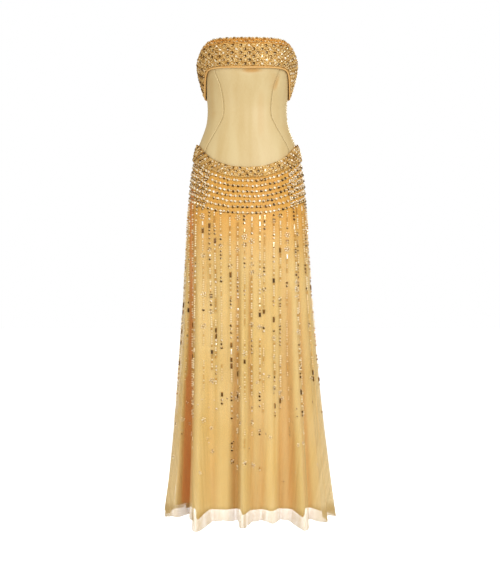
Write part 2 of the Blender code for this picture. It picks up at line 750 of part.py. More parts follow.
def build_pull():
    """Drop-shaped pull, slotted round the bail, with its bar on the turning axis."""
    head, foot, neck = PULL_HEAD_WIDTH / 2, PULL_WIDTH / 2, PULL_NECK_WIDTH / 2
    top = PULL_BAR / 2
    shoulder = top - PULL_SLOT_LENGTH
    waist = top - PULL_LENGTH * PULL_WAIST
    bulb = top - PULL_LENGTH + foot
    back = -PULL_THICK / 2
    outline = [(-head, back, top), (head, back, top), (head, back, shoulder),
               (neck, back, waist)]
    first, last = (math.radians(turn) for turn in PULL_FOOT_TURN)
    outline += [(foot * math.cos(turn), back, bulb + foot * math.sin(turn))
                for turn in even(first, last, PULL_FOOT_SIDES)]
    outline += [(-neck, back, waist), (-head, back, shoulder)]
    bm = bmesh.new()
    prism(bm, outline, (0.0, PULL_THICK, 0.0))
    pull = add_object("zip_pull", mesh_from(bm, "zip_pull"), METAL)
    cutter = bmesh.new()
    slot = PULL_SLOT_LENGTH - PULL_BAR * 2
    box_piece(cutter, (0.0, 0.0, top - PULL_BAR - slot / 2),
              (PULL_SLOT_WIDTH, PULL_THICK * 3, slot))
    hole = add_object("slot", mesh_from(cutter, "slot"), METAL)
    apply_boolean(pull, hole, "DIFFERENCE")
    pull.location = slider_frame()[0]


def build_gown():
    """Every piece of the gown."""
    for old in list(bpy.data.objects):
        bpy.data.objects.remove(old, do_unlink=True)
    build_bodice()
    build_cuff()
    build_skirt()
    build_trim()
    build_zip_chain()
    build_slider()
    build_pull()


build_gown()
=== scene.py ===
"""Looks of a strapless evening gown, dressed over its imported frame.

The cloth is rebuilt as fine shells on the forms of its solids, with seams, stitching and
creases, and the beadwork is set on them stone by stone. Metres, +Z up, and the gown
faces -Y. Angles are measured round the body from the centre front, positive towards +X.
"""

import logging
import math
from dataclasses import dataclass, field
from enum import Enum
from typing import Any, Callable, Iterator, NamedTuple, Sequence

import bmesh
import bpy
import numpy as np
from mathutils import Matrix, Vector


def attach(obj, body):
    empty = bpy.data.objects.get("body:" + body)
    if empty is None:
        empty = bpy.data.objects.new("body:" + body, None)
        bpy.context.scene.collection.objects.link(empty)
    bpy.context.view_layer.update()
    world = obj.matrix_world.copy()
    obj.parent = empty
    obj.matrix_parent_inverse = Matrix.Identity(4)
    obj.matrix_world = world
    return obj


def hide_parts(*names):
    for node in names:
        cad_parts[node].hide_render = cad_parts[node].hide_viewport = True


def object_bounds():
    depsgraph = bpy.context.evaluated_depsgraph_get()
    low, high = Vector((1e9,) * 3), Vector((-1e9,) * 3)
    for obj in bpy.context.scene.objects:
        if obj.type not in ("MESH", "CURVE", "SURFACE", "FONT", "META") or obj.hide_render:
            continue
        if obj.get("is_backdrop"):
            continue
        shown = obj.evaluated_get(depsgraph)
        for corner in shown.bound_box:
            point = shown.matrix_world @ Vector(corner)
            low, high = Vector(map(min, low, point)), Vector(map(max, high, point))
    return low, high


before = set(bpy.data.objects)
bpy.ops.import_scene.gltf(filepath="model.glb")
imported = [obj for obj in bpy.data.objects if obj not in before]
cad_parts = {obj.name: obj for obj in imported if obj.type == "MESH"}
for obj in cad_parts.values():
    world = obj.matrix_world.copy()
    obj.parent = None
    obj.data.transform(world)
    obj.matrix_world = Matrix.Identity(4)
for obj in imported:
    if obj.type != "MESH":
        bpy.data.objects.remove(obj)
CAD_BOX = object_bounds()

LOG = logging.getLogger("gown")
MM = 0.001
LARGE_STONE = 0.006  # smallest stone that gets claws
SEED_BETWEEN = 0.0046
SEED_OF_LATTICE = 0.0032
LATTICE = (0.34, 0.5, 0.66)  # seeds on the way from one stone to the next
LEAST_COVER = 0.31  # least share of its flat size that a cut fills
HALVINGS = 30  # steps in which a seam's angle is found
ROUNDS = 6  # steps in which a panel's heights and seams settle
HOLLOW_REACHES = ((5, 0.85), (14, 0.2))  # columns looked over, and their weight
# painted shade in the cloth's valleys and tucks
VALLEY_SHADE = (0.48, 1.0)  # hollows in which a valley's colour begins and is full
TUCK_SHADE = (1.0, 1.3)
TURN = math.pi
SIDE = math.pi / 2
GOWN_BODY = "gown"
JEWELLED = "gold_jewelled_cloth"
LEVEL = np.array([1.0, 1.0, 0.0])  # keeps what is level of a vector
WARM_TOP = (-0.50, -0.26)  # heights between which the skirt turns warmer
Points = np.ndarray
Tree = bpy.types.NodeTree
Material = bpy.types.Material
Object = bpy.types.Object
Surface = Callable[[Points, Points], Points]


class Section(NamedTuple):
    """Outline at one height: half its width, its reach to front and back, squareness."""

    height: float
    half_width: float
    front: float
    back: float
    squareness: float


class Edge(NamedTuple):
    """Heights of the gown's edges at one angle, the same on both sides."""

    angle: float
    neckline: float
    cuff_hem: float
    hip_seam: float
    trim_hem: float


class Seam(NamedTuple):
    """Distance of the shaping seams from the middle of the front and of the back."""

    height: float
    front: float
    back: float


class Fold(NamedTuple):
    """Large fold of the skirt: a ridge has a positive rise and a valley a negative one."""

    hip_angle: float
    hem_angle: float
    rise: float
    lean: float
    before: float
    after: float
    start: float
    dip: float


class Crease(NamedTuple):
    """Soft crease of the skirt between two heights, over the large folds."""

    hip_angle: float
    hem_angle: float
    depth: float
    width: float
    start: float
    end: float


class Pucker(NamedTuple):
    """Soft trough or ridge in the bodice's satin, along a slanting line."""

    angle: float
    height: float
    length: float
    width: float
    depth: float
    slant: float


class Gather(NamedTuple):
    """Fine waves round the skirt, which swing aside in waves of their own."""

    waves: float
    swing: float
    swing_waves: float
    phase: float
    sway: float
    depth: float


SECTIONS = tuple(Section(*row) for row in (
    (0.2, 0.137, 0.117, 0.098, 2.2), (0.15, 0.137, 0.126, 0.099, 2.2),
    (0.12, 0.133, 0.126, 0.098, 2.2), (0.08, 0.126, 0.115, 0.092, 2.2),
    (0.04, 0.121, 0.102, 0.084, 2.2), (0.0, 0.1185, 0.094, 0.078, 2.2),
    (-0.04, 0.1225, 0.096, 0.082, 2.2), (-0.084, 0.1375, 0.103, 0.091, 2.2),
    (-0.114, 0.149, 0.108, 0.099, 2.2), (-0.15, 0.157, 0.1125, 0.108, 2.2),
    (-0.204, 0.166, 0.118, 0.119, 2.2), (-0.324, 0.1755, 0.124, 0.127, 2.15),
    (-0.564, 0.186, 0.128, 0.136, 2.15), (-0.864, 0.203, 0.137, 0.15, 2.25),
    (-1.014, 0.214, 0.143, 0.158, 2.35), (-1.22, 0.232, 0.15, 0.17, 2.45),
))
EDGES = tuple(Edge(*row) for row in (
    (0.0, 0.201, 0.117, -0.181, -0.205), (20.0, 0.201, 0.1175, -0.178, -0.202),
    (36.0, 0.201, 0.118, -0.168, -0.193), (48.0, 0.1995, 0.117, -0.155, -0.182),
    (57.0, 0.194, 0.112, -0.14, -0.172), (64.0, 0.186, 0.101, -0.127, -0.164),
    (72.0, 0.1755, 0.081, -0.115, -0.157), (80.0, 0.1645, 0.058, -0.108, -0.152),
    (88.0, 0.1545, 0.0435, -0.105, -0.15), (100.0, 0.143, 0.041, -0.106, -0.15),
    (120.0, 0.13, 0.043, -0.115, -0.153), (150.0, 0.118, 0.049, -0.133, -0.162),
    (180.0, 0.114, 0.054, -0.143, -0.168),
))
SEAMS = tuple(Seam(*row) for row in (
    (0.2, 0.103, 0.076), (0.106, 0.0915, 0.07), (0.068, 0.079, 0.062), (0.019, 0.071, 0.054),
    (-0.021, 0.072, 0.055), (-0.053, 0.087, 0.064), (-0.084, 0.105, 0.078),
    (-0.115, 0.122, 0.09), (-0.19, 0.142, 0.104),
))
FOLDS = tuple(Fold(*row) for row in (
    (-84.0, -84.0, 0.014, 0.0, 14.0, 13.0, -0.3, 0.004),
    (-73.0, -62.0, -0.056, -0.068, 10.0, 9.0, -0.3, 0.0),
    (-62.0, -44.0, 0.058, 0.03, 8.5, 9.0, -0.26, 0.024),
    (-17.0, -14.0, -0.02, 0.0, 9.0, 7.0, -0.26, 0.0),
    (-6.0, -3.0, 0.058, -0.004, 7.5, 10.0, -0.28, 0.01),
    (21.0, 16.0, -0.01, 0.0, 6.0, 6.0, -0.3, 0.0),
    (29.0, 25.0, 0.012, 0.0, 8.0, 9.0, -0.42, 0.004),
    (45.0, 38.0, -0.02, 0.0, 7.0, 6.0, -0.25, 0.0),
    (57.0, 50.0, 0.06, -0.044, 8.0, 9.0, -0.25, 0.018),
    (71.0, 67.0, 0.03, 0.0, 8.0, 9.0, -0.35, 0.012),
    (87.0, 87.0, 0.032, 0.0, 12.0, 12.0, -0.46, 0.006),
    (107.0, 109.0, 0.05, 0.01, 9.0, 11.0, -0.26, 0.01),
    (122.0, 123.0, -0.014, 0.0, 7.0, 6.0, -0.3, 0.0),
    (133.0, 135.0, 0.062, 0.0, 10.0, 9.0, -0.24, 0.016),
    (154.0, 154.0, 0.04, -0.008, 9.0, 11.0, -0.38, 0.008),
    (176.0, 176.0, 0.06, 0.0, 10.0, 9.0, -0.27, 0.014),
    (-168.0, -168.0, -0.012, 0.0, 6.0, 6.0, -0.3, 0.0),
    (-158.0, -157.0, 0.046, 0.01, 10.0, 10.0, -0.3, 0.01),
    (-138.0, -136.0, 0.064, 0.0, 9.0, 10.0, -0.24, 0.016),
    (-113.0, -113.0, 0.05, -0.012, 11.0, 9.0, -0.32, 0.01),
))
CREASES = tuple(Crease(*row) for row in (
    (-44.0, -35.0, -0.0042, 2.8, -0.34, -1.24), (-35.0, -28.0, 0.0034, 2.4, -0.42, -1.24),
    (-27.0, -23.0, -0.004, 2.2, -0.3, -0.98), (4.0, 4.0, -0.0036, 1.8, -0.36, -1.0),
    (10.0, 7.5, 0.0034, 2.2, -0.44, -1.24), (35.0, 31.0, -0.004, 2.0, -0.38, -1.24),
    (64.0, 58.0, -0.0046, 2.2, -0.42, -1.24), (79.0, 77.0, -0.004, 2.4, -0.36, -1.1),
    (97.0, 98.0, -0.005, 2.8, -0.34, -1.24), (115.0, 116.0, 0.0038, 2.2, -0.46, -1.24),
    (126.0, 128.0, -0.0046, 2.0, -0.36, -1.05), (143.0, 145.0, -0.005, 2.6, -0.32, -1.24),
    (164.0, 165.0, -0.0042, 2.2, -0.4, -1.24), (-176.0, -177.0, 0.0034, 2.0, -0.48, -1.24),
    (-148.0, -147.0, -0.005, 2.6, -0.34, -1.24), (-128.0, -126.0, -0.0044, 2.2, -0.3, -1.12),
    (-122.0, -120.0, 0.0036, 2.0, -0.52, -1.24), (-102.0, -101.0, -0.005, 2.6, -0.38, -1.24),
    (-93.0, -92.0, 0.003, 2.0, -0.46, -1.24),
))


class ShadePatch(NamedTuple):
    """Painted shade on the front, from one place to another: the cloth's colour turns darker
    there, and lighter, as painted light, where the amount is negative.
    """

    top: tuple[float, float]
    foot: tuple[float, float]
    wide: float
    tall: float
    amount: float


SHADE_PATCHES = tuple(ShadePatch(*row) for row in (
    ((0.081, 0.092), (0.076, 0.064), 0.016, 0.016, 0.36),
    ((0.015, 0.11), (0.015, 0.106), 0.03, 0.006, 0.55),
    ((-0.106, 0.07), (-0.102, -0.01), 0.013, 0.03, 0.22),
    ((0.04, 0.035), (0.04, -0.06), 0.014, 0.03, 0.2),
    ((-0.164, -0.24), (-0.1725, -0.8), 0.0072, 0.01, 0.95),
    ((-0.1745, -0.8), (-0.183, -1.16), 0.014, 0.01, 1.4),
    ((-0.104, -0.62), (-0.112, -1.16), 0.014, 0.08, -0.34),
    ((0.106, -0.62), (0.111, -1.16), 0.012, 0.08, -0.2),
    ((0.127, -0.58), (0.133, -1.14), 0.014, 0.06, 0.4),
))
PUCKERS = tuple(Pucker(*row) for row in (
    (72.0, 0.04, 0.02, 0.0035, -0.0009, 12.0), (66.0, 0.028, 0.026, 0.004, -0.0008, 8.0),
    (76.0, 0.016, 0.018, 0.0035, -0.001, -6.0), (60.0, 0.004, 0.022, 0.0045, -0.0007, 4.0),
    (45.0, 0.08, 0.028, 0.009, -0.0046, 82.0), (4.0, 0.106, 0.04, 0.007, -0.003, 0.0),
    (-68.0, 0.02, 0.024, 0.004, -0.0008, -10.0), (-74.0, 0.006, 0.02, 0.0035, -0.0009, 6.0),
    (-60.0, -0.012, 0.026, 0.0045, -0.0007, -4.0), (-20.0, 0.02, 0.06, 0.007, -0.0006, 84.0),
    (8.0, -0.06, 0.07, 0.008, 0.0006, 88.0), (24.0, -0.09, 0.05, 0.006, -0.0007, 74.0),
    (-30.0, -0.1, 0.05, 0.007, -0.0007, 100.0), (110.0, 0.012, 0.03, 0.0045, -0.001, 8.0),
    (128.0, -0.004, 0.034, 0.005, -0.0011, -5.0), (146.0, 0.01, 0.026, 0.004, -0.0009, 10.0),
    (160.0, -0.03, 0.03, 0.005, -0.001, -8.0), (-112.0, 0.004, 0.03, 0.0045, -0.001, -8.0),
    (-130.0, 0.016, 0.032, 0.0045, -0.001, 6.0), (-150.0, -0.01, 0.03, 0.005, -0.0011, -4.0),
    (-165.0, 0.022, 0.022, 0.004, -0.0008, 9.0),
))
GATHERS = (
    Gather(19.0, 2.1, 2.3, 1.0, 1, 0.0010),
    Gather(31.0, 1.7, 3.7, 4.0, -2, 0.0008),
    Gather(47.0, 1.1, 5.3, 0.0, 3, 0.0004),
)


class SmoothTable:
    """Table of sizes whose columns run on smooth curves through its rows."""

    def __init__(self, rows: Sequence[Sequence[float]]) -> None:
        """Args: rows: the rows, the place first in each."""
        ordered = np.array(sorted(tuple(row) for row in rows), dtype=float)
        self.places = ordered[:, 0]
        self.values = ordered[:, 1:]

    def at(self, place: Points) -> Points:
        """Rows at any places.

        Args:
            place: where to read the table.

        Returns:
            One row of values for each place.
        """
        place = np.asarray(place, dtype=float)
        spots, values = self.places, self.values
        end = np.clip(np.searchsorted(spots, place, side="right"), 1, len(spots) - 1)
        start = end - 1
        before = np.maximum(start - 1, 0)
        after = np.minimum(end + 1, len(spots) - 1)
        step = (spots[end] - spots[start])[..., None]
        share = np.clip((place - spots[start])[..., None] / step, 0.0, 1.0)
        leaving, arriving = ((values[last] - values[first])
                             / (spots[last] - spots[first])[..., None] * step
                             for first, last in ((before, end), (start, after)))
        rise = values[end] - values[start]
        return (values[start] + rise * (3 - 2 * share) * share ** 2
                + leaving * share * (1 - share) ** 2 - arriving * share ** 2 * (1 - share))


def ease(value: Points) -> Points:
    """Smooth step from 0 to 1."""
    share = np.clip(value, 0.0, 1.0)
    return share * share * (3 - 2 * share)


def around_body(angle: Points, radius: Points, height: Points) -> Points:
    """Points at angles round the body, with their distance from the middle and height."""
    return np.stack([radius * np.sin(angle), -radius * np.cos(angle), height], axis=-1)


def aside_of(angle: Points) -> Points:
    """Level directions round the body, towards larger angles."""
    return np.stack([np.cos(angle), np.sin(angle), np.zeros(np.shape(angle))], axis=-1)


def out_of(angle: Points) -> Points:
    """Level directions away from the body's middle."""
    return np.stack([np.sin(angle), -np.cos(angle), np.zeros(np.shape(angle))], axis=-1)


def turn_from(angle: Points, centre: Points) -> Points:
    """Degrees from a line, which is at an angle in degrees itself, the shorter way round."""
    return (np.degrees(angle) - centre + 180.0) % 360.0 - 180.0


def run_along(line: Points) -> Points:
    """Distance of each point of a line from its start, measured along it."""
    return np.concatenate([[0], np.cumsum(np.linalg.norm(np.diff(line, axis=0), axis=1))])


def unit(vectors: Points) -> Points:
    """Vectors of length one."""
    return vectors / np.maximum(np.linalg.norm(vectors, axis=-1, keepdims=True), 1e-12)


@dataclass(frozen=True)
class WornForm:
    """Form of the worn gown, as its solids have it, and the finer relief of its cloth."""

    cup_angle: float = 34.0
    cup_height: float = 0.118
    cup_rise: float = 0.006
    cup_spread: float = 24.0
    cup_reach: float = 0.052
    hem_height: float = -1.203
    lining_hem: float = -1.170
    drift_height: float = -0.25
    fold_growth: float = 1.15
    lining_share: float = 0.70
    overlay_lap: float = 0.003
    overlay_stand: float = 0.0020
    lining_drop: float = 0.0012
    lining_stand: float = -0.0008
    lining_stand_at_hem: float = -0.0047
    slim_left: float = 0.042
    slim_right: float = 0.008
    slim_back: float = 0.025
    slim_from: float = 74.0
    slim_full: float = 88.0
    slim_behind: float = 148.0
    slim_growth: float = 2.5
    crease_growth: float = 0.25
    crease_fading: float = 0.20
    gather_top: float = -0.28
    gather_growth: float = 0.22
    gather_fading: float = 0.50
    gather_end: float = -1.10
    gather_least: float = 0.45
    ripple: float = 0.0014
    fine_ripple: float = 0.0009
    sections: SmoothTable = field(default_factory=lambda: SmoothTable(SECTIONS))
    edges_table: SmoothTable = field(default_factory=lambda: SmoothTable(EDGES))
    seams: SmoothTable = field(default_factory=lambda: SmoothTable(SEAMS))

    def edges(self, angle: Points) -> Edge:
        """Heights of the gown's edges at angles round the body."""
        degrees = np.abs(np.degrees(angle))
        return Edge(degrees, *np.moveaxis(self.edges_table.at(degrees), -1, 0))

    def radius(self, angle: Points, height: Points) -> Points:
        """Distance from the middle to the outline without its folds."""
        half_width, front, back, power = np.moveaxis(self.sections.at(height), -1, 0)
        depth = np.where(np.cos(angle) > 0, front, back)
        across = np.abs(np.sin(angle)) / half_width
        along = np.abs(np.cos(angle)) / depth
        return (across ** power + along ** power) ** (-1 / power)

    def bodice(self, angle: Points, height: Points) -> Points:
        """Outer face of the bodice, with the cups that its seams shape."""
        aside = (np.abs(np.degrees(angle)) - self.cup_angle) / self.cup_spread
        above = (height - self.cup_height) / self.cup_reach
        rise = self.cup_rise * np.exp(-aside ** 2 - above ** 2)
        return around_body(angle, self.radius(angle, height) + rise, height)

    def seam_angle(self, height: Points, from_back: bool) -> Points:
        """Angle of the shaping seam on the +X side.

        Args:
            height: heights to find it at.
            from_back: True for the seam in the back.

        Returns:
            One angle for each height.
        """
        height = np.asarray(height, dtype=float)
        distance = self.seams.at(height)[..., 1 if from_back else 0]
        low = np.zeros_like(distance)
        high = np.full_like(distance, SIDE)
        for _ in range(HALVINGS):
            middle = (low + high) / 2
            angle = TURN - middle if from_back else middle
            short = self.radius(angle, height) * np.sin(middle) < distance
            low = np.where(short, middle, low)
            high = np.where(short, high, middle)
        return TURN - low if from_back else low

    def drift_left(self, height: Points) -> Points:
        """Share of the folds' drift that is still to come below a height."""
        return np.clip((height - self.hem_height) / (self.drift_height - self.hem_height), 0, 1)

    def strengths(self, angle: Points, height: Points) -> Iterator[tuple[Fold, Points, Points]]:
        """Each fold with how strong it is at every place, and how far down its growth."""
        left = self.drift_left(height)
        for fold in FOLDS:
            centre = fold.hem_angle + (fold.hip_angle - fold.hem_angle) * left
            turn = turn_from(angle, centre)
            reach = np.where(turn > 0, fold.after, fold.before)
            bump = np.cos(np.pi / 2 * np.clip(turn / reach, -1.0, 1.0)) ** 2
            grown = np.maximum((fold.start - height) / (fold.start - self.hem_height), 0.0)
            yield fold, np.where(grown > 0, bump, 0.0), grown

    def column_angle(self, hem_angle: Points, height: Points) -> Points:
        """Angle, at a height, of the line of cloth that meets the hem at an angle."""
        rising = sorted(FOLDS, key=lambda fold: fold.hem_angle)
        places = [fold.hem_angle for fold in rising]
        drifts = [fold.hip_angle - fold.hem_angle for fold in rising]
        places = [places[-1] - 360.0] + places + [places[0] + 360.0]
        drifts = [drifts[-1]] + drifts + [drifts[0]]
        drift = np.interp(np.degrees(hem_angle), places, drifts)
        return hem_angle + np.radians(drift) * self.drift_left(height)

    def slimness(self, angle: Points, height: Points) -> Points:
        """How far inside the outline the lining hangs, more towards its hem."""
        turn = turn_from(angle, 0.0)
        side = np.where(turn < 0, self.slim_left, self.slim_right)
        begun = ease((np.abs(turn) - self.slim_from) / (self.slim_full - self.slim_from))
        behind = ease((np.abs(turn) - self.slim_full) / (self.slim_behind - self.slim_full))
        amount = side + (self.slim_back - side) * behind
        return amount * begun * (1 - self.drift_left(height)) ** self.slim_growth

    def folded(self, angle: Points, height: Points, of_lining: bool = False) -> Points:
        """Skirt's outline with its folds, which the lining follows less far out."""
        radius = self.radius(angle, height)
        ridge_share = self.lining_share if of_lining else 1.0
        if of_lining:
            radius = radius - self.slimness(angle, height)
        aside = np.zeros_like(radius)
        for fold, bump, grown in self.strengths(angle, height):
            strength = bump * grown ** self.fold_growth * (ridge_share if fold.rise > 0 else 1)
            radius = radius + fold.rise * strength
            aside = aside + fold.lean * strength
        return around_body(angle, radius, height) + aside_of(angle) * aside[..., None]

    def crease_relief(self, angle: Points, height: Points) -> Points:
        """Height of the skirt's soft creases at places on it."""
        left = self.drift_left(height)
        relief = np.zeros_like(np.asarray(angle, dtype=float))
        for crease in CREASES:
            centre = crease.hem_angle + (crease.hip_angle - crease.hem_angle) * left
            turn = turn_from(angle, centre)
            begun = ease((crease.start - height) / self.crease_growth)
            fading = ease((height - crease.end) / self.crease_fading)
            relief = relief + crease.depth * np.exp(-(turn / crease.width) ** 2) * begun * fading
        return relief

    def gathers(self, angle: Points, height: Points) -> Points:
        """Height of the fine gathers that the beads pull into the skirt's upper half."""
        sway = 0.12 * np.sin(7.0 * height + 2.0 * angle)
        total = 0.0
        for wave in GATHERS:
            swing = wave.swing * np.sin(wave.swing_waves * angle + wave.phase)
            total = total + wave.depth * np.sin(wave.waves * angle + swing + wave.sway * sway)
        begun = ease((self.gather_top - height) / self.gather_growth)
        left = ease((height - self.gather_end) / self.gather_fading)
        return total * begun * (self.gather_least + (1 - self.gather_least) * left)

    def hanging(self, angle: Points, height: Points, stand: Points,
                of_lining: bool = False) -> Points:
        """Face of a skirt layer that stands off the folded outline, with its creases."""
        step = 1e-3
        along = (self.folded(angle + step, height, of_lining)
                 - self.folded(angle - step, height, of_lining))
        up = np.broadcast_to(np.array([0.0, 0.0, 1.0]), along.shape)
        out = unit(np.cross(along, up))
        relief = self.crease_relief(angle, height) + self.gathers(angle, height)
        lift = np.asarray(stand + relief)
        return self.folded(angle, height, of_lining) + out * lift[..., None]

    def hem(self, angle: Points, level: float) -> Points:
        """Height of a hem, which dips where a ridge carries the cloth forwards."""
        at_level = np.full_like(np.asarray(angle, dtype=float), level)
        dips = [fold.dip * bump for fold, bump, _ in self.strengths(angle, at_level)]
        return level - np.sum(dips, axis=0)

    def seam_above(self, column: Points) -> Points:
        """Height of the hip seam above each place of the hem."""
        at_drift = np.full_like(column, self.drift_height)
        return self.edges(self.column_angle(column, at_drift)).hip_seam

    def overlay(self, column: Points, share: Points) -> Points:
        """Outer face of the net overlay; share runs from its top edge down to its hem."""
        top = self.seam_above(column) + self.overlay_lap
        wave = np.sin(23.0 * column + 1.3 * np.sin(5.0 * column))
        ripple = self.ripple * wave + self.fine_ripple * np.sin(57.0 * column + 2.0 * wave)
        height = top + (self.hem(column, self.hem_height) + ripple - top) * share
        return self.hanging(self.column_angle(column, height), height, self.overlay_stand)

    def lining(self, column: Points, share: Points) -> Points:
        """Outer face of the satin lining; share runs from the hip seam to its hem."""
        top = self.seam_above(column) - self.lining_drop
        height = top + (self.hem(column, self.lining_hem) - top) * share
        stand = self.lining_stand + (self.lining_stand_at_hem - self.lining_stand) * share
        return self.hanging(self.column_angle(column, height), height, stand, of_lining=True)

    def room_angle(self, room: float, angle: float, level: float) -> float:
        """Half of the angle that a room takes up, at an angle and a level of the gown."""
        return room / 2 / float(self.radius(np.array(angle), np.array(level)))

    def even_columns(self, first: float, last: float) -> Callable[[Points], Points]:
        """Places across a skirt piece, shared out along its hem.

        Args:
            first: angle of its first side.
            last: angle of its last side.

        Returns:
            A function from a share of the hem's length to an angle.
        """
        fine = np.linspace(first, last, 1441)
        run = run_along(self.folded(fine, np.full_like(fine, self.hem_height)))
        return lambda share: np.interp(share, run / run[-1], fine)


def normals_of(surface: Surface, across: Points, down: Points, step: float = 1e-3) -> Points:
    """Directions out of a surface, away from the body's middle."""
    along = surface(across + step, down) - surface(across - step, down)
    falling = surface(across, down + step) - surface(across, down - step)
    normal = unit(np.cross(along, falling))
    outward = surface(across, down) * LEVEL
    flip = np.sum(normal * outward, axis=-1, keepdims=True) < 0
    return np.where(flip, -normal, normal)


def hollow_of(grid: Points) -> Points:
    """How far each place of a cloth grid lies in a valley: 0.5 is level, 1 is deep in one."""
    along, fall = np.gradient(grid, axis=1), np.gradient(grid, axis=0)
    out = unit(np.cross(along, fall))
    centre = len(grid) // 2, grid.shape[1] // 2
    if np.dot(out[centre], grid[centre] * LEVEL) < 0:
        out = -out
    place = np.arange(grid.shape[1])
    total = np.zeros(grid.shape[:2])
    for reach, weight in HOLLOW_REACHES:
        near = np.minimum(reach, np.minimum(place, place[::-1]))
        before, after = grid[:, place - near], grid[:, place + near]
        depth = np.sum(((before + after) / 2 - grid) * out, axis=-1)
        total += weight * depth / np.maximum(np.linalg.norm(after - before, axis=-1) / 2, 1e-4)
    spread = [np.roll(total, shift, axis=1) for shift in range(-2, 3)]
    total[:, 2:-2] = np.mean(spread, axis=0)[:, 2:-2]
    return np.clip(0.5 + total, 0.0, 1.0)


def painted_shade_patches(points: Points) -> Points:
    """What the painted shade patches add to the hollow mask at places of the cloth, on the front.
    """
    total = np.zeros(len(points))
    for shade_patch in SHADE_PATCHES:
        share = np.clip((shade_patch.top[1] - points[:, 2])
                        / max(shade_patch.top[1] - shade_patch.foot[1], 1e-6), 0.0, 1.0)
        middle = shade_patch.top[0] + (shade_patch.foot[0] - shade_patch.top[0]) * share
        beyond = np.maximum(np.maximum(points[:, 2] - shade_patch.top[1],
                                       shade_patch.foot[1] - points[:, 2]), 0.0)
        total += shade_patch.amount * np.exp(-((points[:, 0] - middle) / shade_patch.wide) ** 2
                                        - (beyond / shade_patch.tall) ** 2)
    return np.where(points[:, 1] < 0.01, total, 0.0)


def thirds(seam: float, middle: float) -> tuple[tuple[str, float, float], ...]:
    """The front and the two backs of a layer of cloth.

    Args:
        seam: angle kept free at each side seam.
        middle: angle kept free at the centre back.

    Returns:
        Each piece's name and the angles of its two sides.
    """
    return (("front", -SIDE + seam, SIDE - seam), ("back_left", SIDE + seam, TURN - middle),
            ("back_right", -TURN + middle, -SIDE - seam))


def linear(colour: str) -> tuple[float, float, float, float]:
    """Linear colour of an sRGB hex value such as '#e5ce9a'."""
    parts = [int(colour[i:i + 2], 16) / 255 for i in (1, 3, 5)]
    red, green, blue = (c / 12.92 if c <= 0.04045 else ((c + 0.055) / 1.055) ** 2.4 for c in parts)
    return red, green, blue, 1.0


def plug(tree: Tree, node: bpy.types.Node, inputs: dict[Any, Any]) -> None:
    """Gives inputs of a node, by name or number, each a value or an output socket."""
    for name, value in inputs.items():
        if isinstance(value, bpy.types.NodeSocket):
            tree.links.new(value, node.inputs[name])
        else:
            node.inputs[name].default_value = value


def add(tree: Tree, kind: str, settings: dict[str, Any] | None = None,
        inputs: dict[Any, Any] | None = None) -> bpy.types.Node:
    """Adds a shader node.

    Args:
        tree: the material's node tree.
        kind: the node's type, without its ShaderNode prefix.
        settings: the node's own properties.
        inputs: a value or an output socket for each input, by its name or number.

    Returns:
        The new node.
    """
    node = tree.nodes.new("ShaderNode" + kind)
    for name, value in (settings or {}).items():
        setattr(node, name, value)
    plug(tree, node, inputs or {})
    return node


def on_cloth(tree: Tree) -> Any:
    """Places on the flat cloth, in metres."""
    return add(tree, "UVMap", {"uv_map": "cloth"}).outputs["UV"]


def on_body(tree: Tree) -> Any:
    """Places on the gown, in metres."""
    return add(tree, "TexCoord").outputs["Object"]


def one_axis(tree: Tree, place: Any, axis: str) -> Any:
    """Distance of a place along one axis."""
    return add(tree, "SeparateXYZ", inputs={"Vector": place}).outputs[axis]


def noise(tree: Tree, place: Any, scale: float, detail: float = 2.0,
          stretch: Sequence[float] | None = None) -> Any:
    """Noise from 0 to 1 at places, which may be stretched first."""
    if stretch:
        place = add(tree, "Mapping", inputs={"Vector": place, "Scale": stretch}).outputs[0]
    return add(tree, "TexNoise", inputs={"Vector": place, "Scale": scale,
                                         "Detail": detail}).outputs["Fac"]


def combined(tree: Tree, operation: str, *values: Any, clamp: bool = False) -> Any:
    """Result of a sum on some values."""
    return add(tree, "Math", {"operation": operation, "use_clamp": clamp},
               dict(enumerate(values))).outputs[0]


def mapped(tree: Tree, value: Any, low: float, high: float, to_low: float = 0.0,
           to_high: float = 1.0, kind: str = "SMOOTHSTEP") -> Any:
    """A value taken from one range to another, smoothly unless kind says LINEAR."""
    return add(tree, "MapRange", {"interpolation_type": kind},
               {"Value": value, "From Min": low, "From Max": high, "To Min": to_low,
                "To Max": to_high}).outputs[0]


def blended(tree: Tree, share: Any, shade: Any, colour: str,
            kind: str = "MIX") -> Any:
    """A shade turned by some share to a hex colour, or multiplied by it."""
    return add(tree, "Mix", {"data_type": "RGBA", "blend_type": kind},
               {0: share, 6: shade, 7: linear(colour)}).outputs[2]


def ramp(tree: Tree, value: Any, stops: Sequence[tuple[float, str]]) -> Any:
    """Colour output of a ramp through stops of (place, hex colour)."""
    node = add(tree, "ValToRGB", inputs={"Fac": value})
    marks = node.color_ramp.elements
    while len(marks) < len(stops):
        marks.new(0.5)
    for mark, (place, colour) in zip(marks, stops):
        mark.position = place
        mark.color = linear(colour)
    return node.outputs["Color"]


